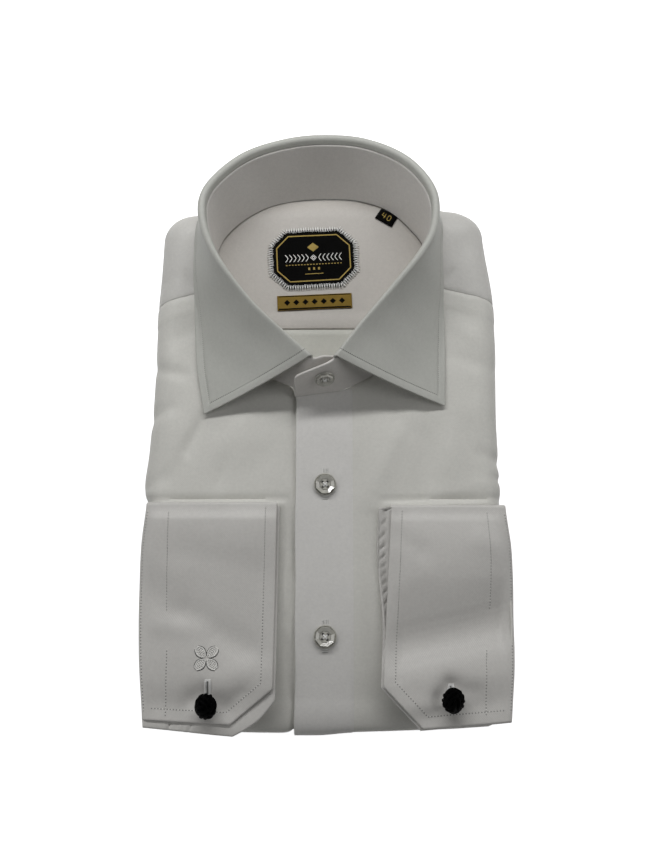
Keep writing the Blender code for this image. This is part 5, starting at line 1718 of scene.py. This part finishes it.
def lay_strip_label():
    """A gold strip with a row of small lozenges."""
    strip = lay_label("strip_label_satin", STRIP_LABEL, gold_satin, "strip_label")
    marks = [(level_line(0.0, up, 23.6), 0.4) for up in (-4.3, 4.3)]
    for at in np.arange(-18.0, 18.1, 6.0):
        for up in np.arange(-1.6, 1.7, 0.4):
            reach = 1.7 - abs(up)
            marks.append(([(at - reach - 0.3, up), (at + reach + 0.3, up)], 0.22))
    return strip, [weave(strip, STRIP_LABEL, marks, "strip_label_marks", label_satin, "black_satin")]


def lay_size_tab():
    """A black tab with a plain size number, 40."""
    tab = lay_label("size_tab_satin", SIZE_TAB, label_satin, "size_tab")
    four = [[(-2.9, 1.9), (-3.2, -0.4), (-0.6, -0.4)], [(-1.2, 1.9), (-1.2, -1.9)]]
    nought = [[(0.9, 1.2), (1.4, 1.9), (2.5, 1.9), (3.0, 1.2), (3.0, -1.2), (2.5, -1.9), (1.4, -1.9),
               (0.9, -1.2), (0.9, 1.2)]]
    lines = [(line, 0.24) for line in four + nought]
    return tab, [weave(tab, SIZE_TAB, lines, "size_tab_number", gold_yarn, "gold_satin")]


def sew_placket(piece):
    """Ends of the placket's buttonholes, above and below each button."""
    surface = Surface(piece)
    thread, shade = Bundle(), Bundle()
    for y in BUTTON_Y:
        for dx in (-1.5, -0.5, 0.5, 1.5):
            line, ups = surface.drop(even_line([(dx, y + 7.8), (dx * 0.9, y + 10.2)], 0.5))
            thread.strand(line + ups * 0.12, ups, 0.22)
            shade.strand(line + ups * 0.06 + (0.40, 0.0, 0.0), ups, 0.10)
        for dy in (-7.4, -8.8):
            line, ups = surface.drop(even_line(level_line(0.0, y + dy, 1.8), 0.5))
            thread.strand(line + ups * 0.12, ups, 0.24)
            shade.strand(line + ups * 0.06 - (0.0, 0.42, 0.0), ups, 0.14)
    return [thread.place("placket_buttonholes", border_thread, "shirt_cotton"),
            shade.place("placket_buttonhole_shade", shaded_thread, "shirt_cotton")]


# ----------------------------------------------------------------- the whole
hidden = lay_hidden_layers()
right_front = lay_right_front()
left_front = lay_left_front()
placket = lay_placket()
outer_yoke = lay_outer_yoke()
inner_yoke = lay_inner_yoke()
back = lay_back()
leaf, leaf_thread = lay_collar_leaf()
band = lay_collar_band()
sleeves, cuffs, cuff_threads = [], [], []
for cuff in CUFFS:
    cuffs.append(lay_cuff(cuff))
    cuff_threads.append(sew_cuff(cuff, cuffs[-1]))
    sleeves.append(lay_sleeve(cuff))
    tie_knot(cuff)
motif = embroider_motif(cuffs[0])
sew_on_buttons()
main_label, main_trim = lay_main_label()
strip_label, strip_trim = lay_strip_label()
size_tab, tab_trim = lay_size_tab()
buttonholes = sew_placket(placket)

# The flat cut of what shows, in metres.
Cut = namedtuple("Cut", "piece width length rests_on area with_pieces")
cuts = table(
    Cut,
    (right_front, 0.110, 0.300, ["hidden_layers_cloth"], 0.0285, []),
    (left_front, 0.115, 0.300, ["hidden_layers_cloth"], 0.0303, []),
    (placket, 0.037, 0.230, ["hidden_layers_cloth"], None, buttonholes),
    (outer_yoke, 0.26, 0.12, ["hidden_layers_cloth"], 0.0111, []),
    (inner_yoke, 0.14, 0.095, ["hidden_layers_cloth"], 0.0115, []),
    (back, 0.111, 0.041, ["hidden_layers_cloth"], 0.0034, []),
    (leaf, 0.46, 0.085, ["collar_band_cloth"], 0.0248, leaf_thread),
    (band, 0.44, 0.036, ["yoke_outer_cloth"], None, []),
    (cuffs[0], 0.085, 0.26, ["front_right_cloth"], None, cuff_threads[0] + motif),
    (cuffs[1], 0.08, 0.26, ["front_left_cloth"], None, cuff_threads[1]),
    (sleeves[0], 0.027, 0.122, ["hidden_layers_cloth"], None, []),
    (sleeves[1], 0.027, 0.122, ["hidden_layers_cloth"], None, []),
    (hidden, 0.27, 0.40, [], 0.083, []),
    (main_label, 0.0572, 0.0406, ["yoke_inner_cloth"], None, main_trim),
    (strip_label, 0.049, 0.0102, ["yoke_inner_cloth"], None, strip_trim),
    (size_tab, 0.0128, 0.0101, ["yoke_inner_cloth"], None, tab_trim),
)

# ------------------------------------------------------- floor, lights, camera
floor_mesh = bpy.data.meshes.new("floor")
floor_mesh.from_pydata([(-3, -3, 0), (3, -3, 0), (3, 3, 0), (-3, 3, 0)], [], [(0, 1, 2, 3)])
floor = bpy.data.objects.new("floor", floor_mesh)
floor.location.z = -0.0002
bpy.context.scene.collection.objects.link(floor)
floor.visible_diffuse = False
paper = Finish("pale_floor", Roughness=0.9, Emission_Strength=0.85, Emission_Color=(1.0, 1.0, 1.0, 1.0))
paper.colour((0.80, 0.80, 0.80, 1.0), (0.83, 0.83, 0.83, 1.0), paper.noise(60.0))
floor_mesh.materials.append(paper.material)


def hang_light(name, place, target, size, power):
    lamp = bpy.data.lights.new(name, "AREA")
    lamp.shape = "RECTANGLE"
    lamp.size, lamp.size_y = size
    lamp.energy = power
    holder = bpy.data.objects.new(name, lamp)
    holder.location = place
    holder.rotation_euler = (Vector(target) - Vector(place)).to_track_quat("-Z", "Y").to_euler()
    bpy.context.scene.collection.objects.link(holder)


hang_light("key", (-0.06, 0.55, 0.57), (0.0, 0.0, 0.02), (1.10, 0.08), 4.75)
hang_light("side_left", (-0.9, -0.25, 0.6), (0.0, 0.0, 0.0), (0.5, 0.8), 2.0)
hang_light("side_right", (0.9, -0.05, 0.6), (0.0, 0.0, 0.0), (0.5, 0.8), 2.1)
hang_light("front_fill", (0.0, -0.75, 0.45), (0.0, 0.0, 0.03), (0.8, 0.3), 0.24)
world = bpy.data.worlds.new("studio")
world.use_nodes = True
world.node_tree.nodes["Background"].inputs["Color"].default_value = (0.97, 0.98, 1.0, 1.0)
world.node_tree.nodes["Background"].inputs["Strength"].default_value = 0.045
bpy.context.scene.world = world
bpy.context.scene.view_settings.view_transform = "Standard"

view = bpy.data.cameras.new("view")
view.lens = 37.37
view.sensor_width = 36.0
camera = bpy.data.objects.new("view", view)
camera.location = (0.0, -0.1285, 0.5875)
camera.rotation_euler = (math.radians(12.0), 0.0, 0.0)
bpy.context.scene.collection.objects.link(camera)
bpy.context.scene.camera = camera
